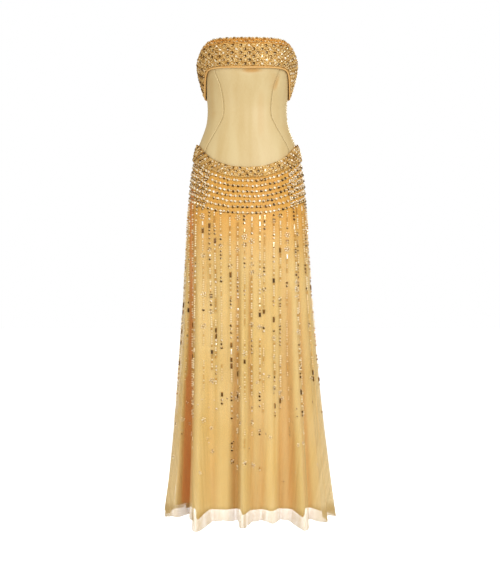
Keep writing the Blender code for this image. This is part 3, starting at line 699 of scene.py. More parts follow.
def painted_valley_shade(tree: Tree, shade: Any, valley: str, amount: float,
               tuck: str = "", glow: float = 0.0) -> Any:
    """Painted shade: colour that turns to another in the cloth's valleys, and to a third in a
    tuck, where a painted glow is added.

    Args:
        tree: the material's node tree.
        shade: the cloth's colour.
        valley: its painted shade colour deep in a valley.
        amount: how far it turns.
        tuck: its painted shade colour in a tuck, which is deeper than a valley.
        glow: strength of the painted glow in a tuck, an emission that stands in for light shining
            through the cloth.

    Returns:
        The new colour output.
    """
    hollow = add(tree, "Attribute", {"attribute_name": "hollow"}).outputs["Fac"]
    shade = blended(tree, mapped(tree, hollow, *VALLEY_SHADE, 0.0, amount), shade, valley)
    if not tuck:
        return shade
    deep = mapped(tree, hollow, *TUCK_SHADE)
    # painted glow: the cloth emits the tuck's colour in its tucks, though it is no lamp
    through = combined(tree, "MULTIPLY", deep, glow)
    plug(tree, tree.nodes["Principled BSDF"],
         {"Emission Strength": through, "Emission Color": linear(tuck)})
    return blended(tree, deep, shade, tuck)


def warmed(tree: Tree, shade: Any, tint: str, low: float, high: float) -> Any:
    """Colour that is tinted from one height on, fully at the second, upwards or downwards."""
    share = mapped(tree, one_axis(tree, on_body(tree), "Z"), low, high)
    return blended(tree, share, shade, tint, "MULTIPLY")


def new_material(name: str) -> tuple[Material, Tree, Any]:
    """A material with its node tree and its main shader."""
    material = bpy.data.materials.new(name)
    material.use_nodes = True
    tree = material.node_tree
    return material, tree, tree.nodes["Principled BSDF"]


@dataclass(frozen=True)
class Satin:
    """Duchess satin, woven with long floats: smooth, with a soft directional sheen."""

    name: str
    light: str
    dark: str
    roughness: float = 0.44
    float_pitch_mm: float = 1.8
    bump: float = 0.10
    # painted shade in valleys and tucks, and a painted glow in tucks
    valley: str = ""
    valley_shade_amount: float = 0.7
    tuck: str = ""
    glow: float = 0.0
    warm_top: str = ""
    cloud: tuple[float, float, float] = (26.0, 26.0, 3.0)
    slubs: tuple[float, float, float] = (900.0, 90.0, 1.0)
    slant: float = 0.6

    def material(self) -> Material:
        """Fine slanting floats, real ones are under 0.3 mm and are drawn coarser to show."""
        material, tree, shader = new_material(self.name)
        place = on_cloth(tree)
        cloud = noise(tree, on_body(tree), 1.0, 3.0, self.cloud)
        turned = add(tree, "Mapping", inputs={"Vector": place, "Rotation": (0, 0, self.slant)})
        floats = add(tree, "TexWave", {"wave_type": "BANDS", "bands_direction": "X"},
                     {"Vector": turned.outputs[0], "Scale": 0.314 / (self.float_pitch_mm * MM),
                      "Distortion": 0.6, "Detail": 1.0, "Detail Scale": 4.0})
        yarn = noise(tree, place, 1.0, stretch=self.slubs)
        shade = ramp(tree, combined(tree, "MULTIPLY_ADD", yarn, 0.35, cloud),
                     [(0.35, self.dark), (0.85, self.light)])
        # painted shade in the satin's valleys and tucks, with a painted glow in the tucks
        if self.valley:
            shade = painted_valley_shade(tree, shade, self.valley, self.valley_shade_amount, self.tuck, self.glow)
        if self.warm_top:
            shade = warmed(tree, shade, self.warm_top, *WARM_TOP)
        relief = combined(tree, "MULTIPLY_ADD", yarn, 0.5, floats.outputs["Fac"])
        bump = add(tree, "Bump", inputs={"Height": relief, "Strength": self.bump,
                                         "Distance": 0.0004})
        gloss = mapped(tree, yarn, 0.0, 1.0, self.roughness - 0.05, self.roughness + 0.08,
                       "LINEAR")
        plug(tree, shader, {"Base Color": shade, "Roughness": gloss, "Normal": bump.outputs[0],
                            "Sheen Weight": 0.15, "Sheen Roughness": 0.4,
                            "Sheen Tint": linear(self.light), "IOR": 1.48})
        return material


@dataclass(frozen=True)
class SilkNet:
    """Fine hexagonal net: mostly holes, so that the satin under it shows through."""

    name: str = "gold_silk_net"
    shade: str = "#edd694"
    thread: str = "#f8e6b0"
    # painted shade in the net's valleys and tucks, and a painted glow in tucks
    valley: str = "#ecc47e"
    tuck: str = "#d69a5e"
    glow: float = 0.10
    warm_top: str = "#ffe4a2"
    dim_hem: str = "#dccfb3"
    # painted light: the net's colour is painted paler towards the skirt's sides
    painted_light_at_sides: str = "#fff1cc"
    edge_reach: tuple[float, float] = (0.186, 0.225)
    edge_cover: float = 1.7
    dim_reach: tuple[float, float] = (-1.155, -1.185)
    hem_reach: tuple[float, float] = (-1.15, -1.19)
    hem_cover: float = 1.28
    streaks: tuple[float, float, float] = (75.0, 3.0, 1.0)
    mesh_mm: float = 2.4
    cover: float = 0.30

    def material(self) -> Material:
        """Net whose real holes of 1 mm are drawn a little wider so that they show."""
        material, tree, shader = new_material(self.name)
        place, body = on_cloth(tree), on_body(tree)
        cells = add(tree, "TexVoronoi",
                    {"feature": "DISTANCE_TO_EDGE", "voronoi_dimensions": "2D"},
                    {"Vector": place, "Scale": 1 / (self.mesh_mm * MM), "Randomness": 0.35})
        threads = mapped(tree, cells.outputs["Distance"], 0.02, 0.22, min(self.cover * 2.2, 1.0),
                         self.cover * 0.45)
        shade = ramp(tree, noise(tree, body, 5.0, 3.0), [(0.3, self.shade), (0.7, self.thread)])
        beside = combined(tree, "ABSOLUTE", one_axis(tree, body, "X"))
        # mask of the skirt's sides, where the net's colour is painted paler as painted light; it
        # also makes the net denser there
        edge = mapped(tree, beside, *self.edge_reach, 0.0, 0.5)
        shade = blended(tree, edge, shade, self.painted_light_at_sides)
        # painted shade in valleys and tucks, and a painted glow in the tucks
        shade = painted_valley_shade(tree, shade, self.valley, 0.6, self.tuck, self.glow)
        shade = warmed(tree, shade, self.warm_top, *WARM_TOP)
        shade = warmed(tree, shade, self.dim_hem, *self.dim_reach)
        streaks = noise(tree, place, 1.0, stretch=self.streaks)
        cover = combined(tree, "MULTIPLY", threads,
                         mapped(tree, streaks, 0.3, 0.7, 0.75, 1.3, "LINEAR"))
        cover = combined(tree, "MULTIPLY", cover,
                         mapped(tree, edge, 0.0, 1.0, 1.0, self.edge_cover, "LINEAR"))
        hem = mapped(tree, one_axis(tree, body, "Z"), *self.hem_reach, 1.0, self.hem_cover,
                     "LINEAR")
        cover = combined(tree, "MULTIPLY", cover, hem, clamp=True)
        plug(tree, shader, {"Base Color": shade, "Alpha": cover, "Roughness": 0.55,
                            "Sheen Weight": 0.3, "Sheen Tint": linear(self.thread), "IOR": 1.53})
        return material


@dataclass(frozen=True)
class BeadedGround:
    """Gold cloth closely covered with flat sequins, each tipped its own way: each cell's tone is
    partly the sequin's own colour and partly a painted reflection of how it is tipped.
    """

    name: str = "sequinned_gold_cloth"
    stops: tuple[tuple[float, str], ...] = ((0.0, "#96692c"), (0.35, "#cda057"), (0.7, "#e2ba70"),
                                            (1.0, "#f2dba2"))
    sequin_mm: float = 3.6
    roll_mm: float = 0.0
    roll_tint: str = "#ffdda4"

    def material(self) -> Material:
        """Round sequins in a close layer, as cells of a pattern with their own tones, which are
        partly the sequins' colour and partly painted reflections.
        """
        material, tree, shader = new_material(self.name)
        place = on_cloth(tree)
        cells = add(tree, "TexVoronoi", {"feature": "F1", "voronoi_dimensions": "2D"},
                    {"Vector": place, "Scale": 1 / (self.sequin_mm * MM), "Randomness": 0.8})
        tone = add(tree, "SeparateColor", inputs={"Color": cells.outputs["Color"]}).outputs
        roll = self.roll_mm * MM
        rolled = mapped(tree, one_axis(tree, place, "Y"), roll * 0.7, roll * 1.2 + 1e-5, 1.0, 0.0)
        shade = blended(tree, rolled, ramp(tree, tone[0], self.stops), self.roll_tint, "MULTIPLY")
        bump = add(tree, "Bump", {"invert": True}, {"Height": cells.outputs["Distance"],
                                                    "Strength": 0.8, "Distance": 0.0012})
        gloss = mapped(tree, tone[1], 0.0, 1.0, 0.32, 0.6, "LINEAR")
        plug(tree, shader, {"Base Color": shade, "Roughness": gloss, "Normal": bump.outputs[0],
                            "Metallic": 0.35})
        return material


@dataclass(frozen=True)
class ToneRamp:
    """Glass or metal small parts, whose tone is kept for each facet of the mesh; on glass these
    tones are painted glints and painted reflections.
    """

    name: str
    stops: tuple[tuple[float, str], ...]
    roughness: float
    metallic: float
    grain_mm: float = 1.5

    def material(self) -> Material:
        """Painted glints and reflections: each facet has its own tone, light or dark, as foil
        behind glass throws back light or dark.
        """
        material, tree, shader = new_material(self.name)
        tone = add(tree, "Attribute", {"attribute_name": "tone"}).outputs["Fac"]
        haze = noise(tree, on_body(tree), 1 / (self.grain_mm * MM), 1.0)
        shade = ramp(tree, combined(tree, "MULTIPLY_ADD", haze, 0.10, tone), self.stops)
        gloss = mapped(tree, haze, 0.0, 1.0, self.roughness * 0.7, self.roughness * 1.4, "LINEAR")
        plug(tree, shader, {"Base Color": shade, "Roughness": gloss, "Metallic": self.metallic})
        return material


@dataclass(frozen=True)
class GiltMetal:
    """Polished gilt brass, with faint rubbing marks from its use."""

    name: str = "gilt_brass_polished"

    def material(self) -> Material:
        """Fine rubbing marks vary the gloss a little."""
        material, tree, shader = new_material(self.name)
        rub = noise(tree, on_body(tree), 1.0, stretch=(2500.0, 2500.0, 400.0))
        plug(tree, shader, {"Base Color": ramp(tree, rub, [(0.2, "#c19a4c"), (0.8, "#e6c883")]),
                            "Roughness": mapped(tree, rub, 0.0, 1.0, 0.18, 0.38, "LINEAR"),
                            "Metallic": 1.0})
        return material


# the valley and tuck colours are painted shade in the satin's folds, and glow is a painted glow
CHAMPAGNE = Satin("champagne_duchess_satin", "#dac99d", "#ccb481", valley="#ca9a52",
                  valley_shade_amount=0.8)
LINING = Satin("gold_satin_lining_cloth", "#fbdf90", "#f2cd7c", roughness=0.46,
               valley="#e2a656", tuck="#dca868", glow=0.26, warm_top="#f8d78e")
PIPING = Satin("gold_satin_piping", "#f0c684", "#e2ae66", roughness=0.40)
CUFF_GROUND = BeadedGround("sequinned_gold_cuff_cloth", roll_mm=31.0)
CUT_GLASS = ToneRamp(
    "foiled_cut_glass",
    ((0.0, "#2a1a08"), (0.22, "#7d541d"), (0.45, "#c99a4c"), (0.7, "#efdcb0"), (1.0, "#fbf4e6")),
    roughness=0.20, metallic=0.30)
SEED_GLASS = ToneRamp(
    "silver_lined_seed_beads",
    ((0.0, "#8c6428"), (0.4, "#cfa355"), (0.75, "#ecd292"), (1.0, "#fff6dc")),
    roughness=0.34, metallic=0.30)
CLAW_METAL = ToneRamp(
    "gilt_claw_settings",
    ((0.0, "#8f6a2c"), (0.5, "#c29a50"), (1.0, "#e2c380")), roughness=0.42, metallic=0.9)
THREAD = ToneRamp(
    "champagne_sewing_thread",
    ((0.0, "#b89a61"), (1.0, "#d9be86")), roughness=0.6, metallic=0.0)


def finish_piece(piece: Object, material: Material, slot: str,
                 *replaced: str) -> Object:
    """Gives a piece its material and its place in the gown.

    Args:
        piece: the new object.
        material: its finish.
        slot: not used.
        replaced: the solids that it stands for.

    Returns:
        The same piece.
    """
    piece.data.materials.clear()
    piece.data.materials.append(material)
    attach(piece, GOWN_BODY)
    if replaced:
        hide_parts(*replaced)
    LOG.info("%s: %d faces", piece.name, len(piece.data.polygons))
    return piece


def placed(name: str, data: Any) -> Object:
    """Object at the origin that shows a mesh or a curve, or holds a lamp or a camera."""
    piece = bpy.data.objects.new(name, data)
    bpy.context.scene.collection.objects.link(piece)
    return piece


class Cut(NamedTuple):
    """Flat size of a piece of cloth: width and length of the pattern, and its area."""

    width: float
    length: float
    area: float


def cloth_shell(name: str, surface: Surface, columns: int, rows: int,
                wall: float) -> tuple[Object, Cut]:
    """Cloth over a surface, as a grid moved onto it and given a thin wall.

    Args:
        name: the piece's name.
        surface: points for shares across and down the cloth.
        columns: divisions across.
        rows: divisions down.
        wall: thickness of the cloth.

    Returns:
        The piece and the flat size that it was cut to.
    """
    bm = bmesh.new()
    bmesh.ops.create_grid(bm, x_segments=columns, y_segments=rows, size=0.5)
    mesh = bpy.data.meshes.new(name)
    bm.to_mesh(mesh)
    bm.free()
    flat = np.empty(len(mesh.vertices) * 3)
    mesh.vertices.foreach_get("co", flat)
    flat = flat.reshape(-1, 3)
    across, down = flat[:, 0] + 0.5, 0.5 - flat[:, 1]
    points = surface(across, down)
    mesh.vertices.foreach_set("co", points.ravel())
    order = np.lexsort((np.round(across, 6), np.round(down, 6)))
    wide = int(np.sum(np.isclose(down, down.min(), atol=1e-6)))
    grid = points[order].reshape(-1, wide, 3)
    run_across = np.stack([run_along(row) for row in grid])
    run_down = np.stack([run_along(column) for column in grid.swapaxes(0, 1)], axis=1)
    width, length = run_across[:, -1].max(), run_down[-1].max()
    run_across = run_across - run_across[:, -1:] / 2
    place = np.empty((len(flat), 2))
    place[order] = np.stack([run_across.ravel(), run_down.ravel()], axis=-1)
    corners = np.empty(len(mesh.loops), dtype=np.int32)
    mesh.loops.foreach_get("vertex_index", corners)
    mesh.uv_layers.new(name="cloth").uv.foreach_set("vector", place[corners].ravel())
    # the hollow attribute masks the painted shade in valleys and tucks, with the painted shade
    # patches added to it
    hollow = np.empty(len(flat), dtype=np.float32)
    hollow[order] = hollow_of(grid).ravel()
    hollow += painted_shade_patches(points)
    mesh.attributes.new("hollow", "FLOAT", "POINT").data.foreach_set("value", hollow)
    mesh.update()
    middle = mesh.polygons[len(mesh.polygons) // 2]
    if middle.normal.dot(Vector((middle.center.x, middle.center.y, 0.0))) < 0:
        mesh.flip_normals()
    mesh.shade_smooth()
    area = sum(face.area for face in mesh.polygons)
    piece = placed(name, mesh)
    thick = piece.modifiers.new("cloth_wall", "SOLIDIFY")
    thick.thickness = wall
    thick.offset = -1.0
    return piece, Cut(float(width), float(length), float(min(area, width * length)))


def declare_cut(piece: Object, cut: Cut, held: str, *rests_on: str) -> None:
    """Logs the flat size that a cloth piece was cut to."""
    max(cut.area, LEAST_COVER * cut.width * cut.length)
    LOG.info("%s is cut %.3f by %.3f m, %.4f m2", piece.name, *cut)


class Template:
    """Small part that is repeated, read from a bmesh as arrays."""

    def __init__(self, bm: bmesh.types.BMesh) -> None:
        """Args: bm: the shape, which is used up."""
        bmesh.ops.recalc_face_normals(bm, faces=bm.faces)
        bm.verts.ensure_lookup_table()
        bm.verts.index_update()
        self.points = np.array([vertex.co[:] for vertex in bm.verts])
        self.sizes = np.array([len(face.verts) for face in bm.faces])
        self.corners = np.array([v.index for face in bm.faces for v in face.verts])
        self.normals = np.array([face.normal[:] for face in bm.faces])
        bm.free()


@dataclass
class Places:
    """Where the copies of a small part go, and how large and how light each is."""

    centres: Points
    along: Points
    out: Points
    sizes: Points
    tones: Points

    def __post_init__(self) -> None:
        """Makes each direction square to the one out of the cloth."""
        self.out = unit(self.out)
        self.along = unit(self.along - self.out * np.sum(self.along * self.out, -1, keepdims=True))

    def chosen(self, mask: Points) -> "Places":
        """The places that a mask keeps."""
        return Places(self.centres[mask], self.along[mask], self.out[mask], self.sizes[mask],
                      self.tones[mask])


def joined(name: str, template: Template, places: Places, spread: float,
           rng: np.random.Generator, lean: float = 0.0) -> Object:
    """Copies of a small part as one mesh.

    Args:
        name: the piece's name.
        template: the part, along its own x, across its y and out along its z.
        places: where the copies go.
        spread: how much the facets' tones differ from their part's; on glass these are painted
            glints and painted reflections.
        rng: source of the facets' tones.
        lean: how much lighter, as a painted highlight, the facets are that face along the part's
            x.

    Returns:
        The new piece.
    """
    count = len(places.centres)
    across = np.cross(places.out, places.along)
    local = template.points[None] * places.sizes[:, None, :]
    points = (places.centres[:, None] + local[..., :1] * places.along[:, None]
              + local[..., 1:2] * across[:, None] + local[..., 2:] * places.out[:, None])
    corners = template.corners[None] + (np.arange(count) * len(template.points))[:, None]
    starts = np.concatenate([[0], np.cumsum(template.sizes)[:-1]])
    starts = starts[None] + (np.arange(count) * len(template.corners))[:, None]
    mesh = bpy.data.meshes.new(name)
    mesh.vertices.add(count * len(template.points))
    mesh.vertices.foreach_set("co", points.ravel())
    mesh.loops.add(corners.size)
    mesh.loops.foreach_set("vertex_index", corners.ravel().astype(np.int32))
    mesh.polygons.add(starts.size)
    mesh.polygons.foreach_set("loop_start", starts.ravel().astype(np.int32))
    mesh.update(calc_edges=True)
    mesh.validate()
    # painted glints and reflections: each facet's tone is drawn round its part's, and lean paints
    # a highlight on the facets facing along the part's x
    facets = places.tones[:, None] + rng.normal(0.0, spread, starts.shape)
    facets = facets + lean * template.normals[None, :, 0]
    mesh.shade_flat()
    tone = mesh.attributes.new("tone", "FLOAT", "FACE")
    tone.data.foreach_set("value", np.clip(facets, 0.0, 1.0).ravel().astype(np.float32))
    return placed(name, mesh)


def cut_stone(sides: int = 8) -> Template:
    """Round cut stone of diameter 1, with a girdle, two rings of facets and a table."""
    bm = bmesh.new()
    bmesh.ops.create_cone(bm, cap_ends=True, segments=sides, radius1=0.50, radius2=0.40,
                          depth=0.20)
    bmesh.ops.translate(bm, verts=bm.verts, vec=(0.0, 0.0, 0.18))
    bm.faces.ensure_lookup_table()
    top = max(bm.faces, key=lambda face: face.calc_center_median().z)
    bmesh.ops.inset_region(bm, faces=[top], thickness=0.22, depth=0.14)
    return Template(bm)


def claw_setting() -> Template:
    """Metal cup of diameter 1 under a stone, with four claws over its girdle."""
    bm = bmesh.new()
    bmesh.ops.create_cone(bm, cap_ends=True, segments=8, radius1=0.46, radius2=0.56, depth=0.24)
    for turn in range(4):
        angle = (turn + 0.5) * SIDE
        claw = bmesh.ops.create_cube(bm, size=1.0)["verts"]
        bmesh.ops.scale(bm, vec=(0.12, 0.16, 0.36), verts=claw)
        bmesh.ops.translate(bm, vec=(0.50, 0.0, 0.16), verts=claw)
        for vertex in claw:
            if vertex.co.z > 0.16:
                vertex.co.x -= 0.09
            side, out = vertex.co.y, vertex.co.x
            vertex.co.x = out * math.cos(angle) - side * math.sin(angle)
            vertex.co.y = out * math.sin(angle) + side * math.cos(angle)
    return Template(bm)


def baguette_stone() -> Template:
    """Long cut stone, 1 long and 1 wide before it is sized, with a bevelled top."""
    bm = bmesh.new()
    cube = bmesh.ops.create_cube(bm, size=1.0)["verts"]
    bmesh.ops.scale(bm, vec=(1.0, 1.0, 0.30), verts=cube)
    bmesh.ops.translate(bm, vec=(0.0, 0.0, 0.15), verts=cube)
    top = max(bm.faces, key=lambda face: face.calc_center_median().z)
    bmesh.ops.inset_region(bm, faces=[top], thickness=0.22, depth=0.14)
    return Template(bm)


def seed_bead() -> Template:
    """Small round bead of diameter 1, resting on the cloth."""
    bm = bmesh.new()
    bmesh.ops.create_uvsphere(bm, u_segments=6, v_segments=4, radius=0.5)
    bmesh.ops.translate(bm, vec=(0.0, 0.0, 0.35), verts=bm.verts)
    return Template(bm)


def stitch() -> Template:
    """Short stitch, 1 long, that dips into the cloth at its ends."""
    bm = bmesh.new()
    bmesh.ops.create_cone(bm, cap_ends=True, segments=5, radius1=0.5, radius2=0.5, depth=1.0)
    bmesh.ops.subdivide_edges(bm, edges=[e for e in bm.edges if abs(
        e.verts[0].co.z - e.verts[1].co.z) > 0.5], cuts=1)
    for vertex in bm.verts:
        x, y, z = vertex.co
        vertex.co = (z, y, x * 0.6 if abs(z) < 0.4 else x * 0.3 - 0.4)
    return Template(bm)


class Small(Enum):
    """Kinds of small parts in the beadwork."""

    STONE = "stones"
    SEED = "seed_beads"
    BAGUETTE = "baguettes"


class BeadBook:
    """Collects small parts of each kind for one stretch of beadwork, then makes them."""

    def __init__(self, surface: Surface, seed: int) -> None:
        """Args: surface: the cloth, by two places. seed: start of the random draws."""
        self.surface = surface
        self.rng = np.random.default_rng(seed)
        self.rows: dict[Small, list[tuple[float, ...]]] = {kind: [] for kind in Small}

    def draw(self, low: float, high: float) -> float:
        """A number drawn between two."""
        return float(self.rng.uniform(low, high))

    def pick(self, values: Sequence[float], shares: Sequence[float] | None = None) -> float:
        """One of some values, drawn by their shares."""
        return float(self.rng.choice(values, p=shares))

    def slant(self, spread: float) -> float:
        """Angle of a stone, drawn near one, so that the painted highlight on its facets falls the
        same way on most stones.
        """
        return float(self.rng.normal(-0.8, spread))

    def put(self, kind: Small, across: float, down: float, size: float, tone: float,
            turn: float = 0.0, stretch: float = 1.0, shift: tuple[float, float] = (0, 0)) -> None:
        """Adds one small part.

        Args:
            kind: what it is.
            across: first place on the surface.
            down: second place on the surface.
            size: its diameter or width.
            tone: how light it is, from 0 to 1.
            turn: angle of its length from the downward line.
            stretch: its length for a width of 1.
            shift: how far it sits aside and down from its place.
        """
        self.rows[kind].append((across, down, size, tone, turn, stretch, *shift))

    def places(self, kind: Small) -> Places:
        """Frames on the cloth of every part of one kind."""
        rows = np.array(self.rows[kind], dtype=float)
        across, down = rows[:, 0], rows[:, 1]
        step = 2e-4
        out = normals_of(self.surface, across, down, step)
        fall = unit(self.surface(across, down + step) - self.surface(across, down - step))
        aside = unit(np.cross(out, fall))
        centre = self.surface(across, down) + aside * rows[:, 6:7] + fall * rows[:, 7:8]
        turn, size = rows[:, 4:5], rows[:, 2:3]
        sizes = np.concatenate([size * rows[:, 5:6], size, size], axis=1)
        return Places(centre, fall * np.cos(turn) + aside * np.sin(turn), out, sizes, rows[:, 3])

    def build(self, prefix: str, finishes: dict[Small, Any], slot: str, sides: int = 8) -> None:
        """Makes a piece of each kind that was put down.

        Args:
            prefix: start of the pieces' names.
            finishes: material of each kind.
            slot: name of a material slot, passed on to finish_piece.
            sides: number of sides of the round stones.
        """
        # for each kind: its shape, the spread of its painted glints, and the lean of its painted
        # highlight
        kinds = {Small.STONE: (cut_stone(sides), 0.16, 1.15), Small.SEED: (seed_bead(), 0.08, 0.0),
                 Small.BAGUETTE: (baguette_stone(), 0.12, 0.5)}
        for kind, (shape, spread, lean) in kinds.items():
            if self.rows[kind]:
                piece = joined(f"{prefix}_{kind.value}", shape, self.places(kind), spread,
                               self.rng, lean)
                if kind is Small.SEED:
                    piece.data.shade_smooth()
                finish_piece(piece, finishes[kind], slot)

    def claw(self, prefix: str, metal: Material, slot: str) -> None:
        """Sets metal claws round the large stones."""
        large = self.places(Small.STONE)
        large = large.chosen(large.sizes[:, 1] > LARGE_STONE)
        finish_piece(joined(f"{prefix}_claws", claw_setting(), large, 0.15, self.rng), metal, slot)


class Circuit:
    """Line round the gown, on which places are found by the distance run along it."""

    def __init__(self, surface: Surface, angles: Points, level: float | Points) -> None:
        """Args: surface: the cloth. angles, level: where the line runs on it."""
        self.angles = angles
        self.run = run_along(surface(angles, level * np.ones_like(angles)))
        self.length = self.run[-1]

    def at(self, spot: float, values: Points | None = None) -> float:
        """The angle at a distance along the line, or another value that goes with it."""
        return float(np.interp(spot, self.run, self.angles if values is None else values))


@dataclass
class Bodice:
    """Boned satin bodice in seven panels, with pressed seams and their topstitching."""

    form: WornForm
    satin: Material
    thread: Material
    wall: float = 0.0012
    seam_gap: float = 0.0003
    zip_gap: float = 0.0008
    top_drop: float = 0.0072
    seam_depth: float = 0.0011
    seam_width: float = 0.0016
    stitch_offset: float = 0.0042
    stitch_length: float = 0.0030
    stitch_width: float = 0.0007
    stitch_pitch: float = 0.0042
    ridge: float = 0.0003
    ridge_offset: float = 0.004
    ridge_width: float = 0.002
    ripple: float = 0.00022
    ripple_pitch: float = 0.011
    ripple_width: float = 0.008
    rows: int = 96
    seed: int = 11

    def relief(self, angle: Points, height: Points) -> Points:
        """Height of the satin's soft puckers."""
        total = np.zeros_like(angle)
        for pucker in PUCKERS:
            aside = (angle - math.radians(pucker.angle)) * self.form.radius(angle, height)
            above = height - pucker.height
            slant = math.radians(pucker.slant)
            along = aside * math.cos(slant) + above * math.sin(slant)
            over = above * math.cos(slant) - aside * math.sin(slant)
            total += pucker.depth * np.exp(-(along / pucker.length) ** 2
                                           - (over / pucker.width) ** 2)
        return total

    def panel(self, first: Callable[[Points], Points], last: Callable[[Points], Points],
              rooms: tuple[float, float]) -> Surface:
        """Surface of a panel between two seams.

        Args:
            first: angle of its first seam for a height.
            last: angle of its last seam for a height.
            rooms: room kept free at the two seams.

        Returns:
            Points for shares across the panel and down it.
        """
        def place(across: Points, down: Points) -> tuple[Points, Points, Points]:
            """Angle, height and the panel's width at shares of it."""
            angle = np.zeros_like(across)
            height = np.zeros_like(across)
            width = np.ones_like(across)
            for _ in range(ROUNDS):
                left, right = first(height), last(height)
                radius = self.form.radius(left, height)
                left = left + rooms[0] / 2 / radius
                right = right - rooms[1] / 2 / radius
                angle = left + (right - left) * across
                edges = self.form.edges(angle)
                top = edges.neckline - self.top_drop
                height = top + (edges.hip_seam - top) * down
                width = (right - left) * radius
            return angle, height, width

        def surface(across: Points, down: Points) -> Points:
            """Points of the satin, with its pressed seams and its puckers."""
            angle, height, width = place(np.clip(across, 0, 1), np.clip(down, 0, 1))
            point = self.form.bodice(angle, height)
            edge = np.minimum(across, 1 - across) * width
            pressed = self.seam_depth * np.exp(-(edge / self.seam_width) ** 2)
            beside = self.ridge * np.exp(-((edge - self.ridge_offset) / self.ridge_width) ** 2)
            ripple = self.ripple * np.sin(height * 2 * math.pi / self.ripple_pitch + 9 * angle)
            rippled = ripple * np.exp(-(edge / self.ripple_width) ** 2)
            lift = self.relief(angle, height) - pressed + beside + rippled
            return point + unit(point * LEVEL) * lift[..., None]

        return surface

    def seam_stitches(self, surface: Surface, rng: np.random.Generator) -> Places:
        """Stitches along both sides of a panel."""
        rows = []
        down = np.linspace(0.02, 0.985, 400)
        middle = np.full_like(down, 0.5)
        width = np.linalg.norm(surface(middle + 0.05, down) - surface(middle - 0.05, down),
                               axis=1) / 0.1
        for across in (self.stitch_offset / width, 1 - self.stitch_offset / width):
            run = run_along(surface(across, down))
            spots = np.arange(self.stitch_pitch, run[-1], self.stitch_pitch)
            at = np.interp(spots, run, across), np.interp(spots, run, down)
            fall = surface(at[0], at[1] + 1e-3) - surface(at[0], at[1] - 1e-3)
            rows.append((surface(*at), unit(fall), normals_of(surface, *at)))
        centre, fall, out = (np.concatenate(part) for part in zip(*rows))
        size = np.array([self.stitch_length, self.stitch_width, self.stitch_width])
        tones = np.clip(rng.normal(0.5, 0.15, len(centre)), 0, 1)
        return Places(centre, fall, out, np.tile(size, (len(centre), 1)), tones)

    def build(self) -> None:
        """Makes the panels, each in place of its solid, and one mesh of stitches."""
        def seam(from_back: bool) -> Callable[[Points], Points]:
            """Angle of a shaping seam for a height."""
            return lambda height: self.form.seam_angle(height, from_back)

        def constant(angle: float) -> Callable[[Points], Points]:
            """The same angle for every height."""
            return lambda height: np.full_like(height, angle)

        def mirrored(side: Callable[[Points], Points]) -> Callable[[Points], Points]:
            """The line on the other side of the body."""
            return lambda height: -side(height)

        gap, middle = self.seam_gap, self.zip_gap
        front, side, back = seam(False), constant(SIDE), seam(True)
        panels = [("centre_front", mirrored(front), front, 56, (gap, gap))]
        for name, first, last, columns, rooms in (
                ("side_front", front, side, 40, (gap, gap)),
                ("side_back", side, back, 32, (gap, gap)),
                ("back", back, constant(TURN), 32, (gap, middle))):
            panels += [(name + "_left", first, last, columns, rooms),
                       (name + "_right", mirrored(last), mirrored(first), columns, rooms[::-1])]
        rng = np.random.default_rng(self.seed)
        sewn = []
        for name, first, last, columns, rooms in panels:
            surface = self.panel(first, last, rooms)
            piece, cut = cloth_shell(f"satin_{name}", surface, columns, self.rows, self.wall)
            node = f"bodice_{name}"
            finish_piece(piece, self.satin, "champagne_satin", node)
            declare_cut(piece, cut, "stretched", "cuff_front_cloth" if "front" in name else node)
            sewn.append(self.seam_stitches(surface, rng))
        stitches = Places(*(np.concatenate([getattr(part, key) for part in sewn])
                            for key in ("centres", "along", "out", "sizes", "tones")))
        piece = joined("bodice_topstitching", stitch(), stitches, 0.05, rng)
        piece.data.shade_smooth()
        finish_piece(piece, self.thread, "champagne_satin")


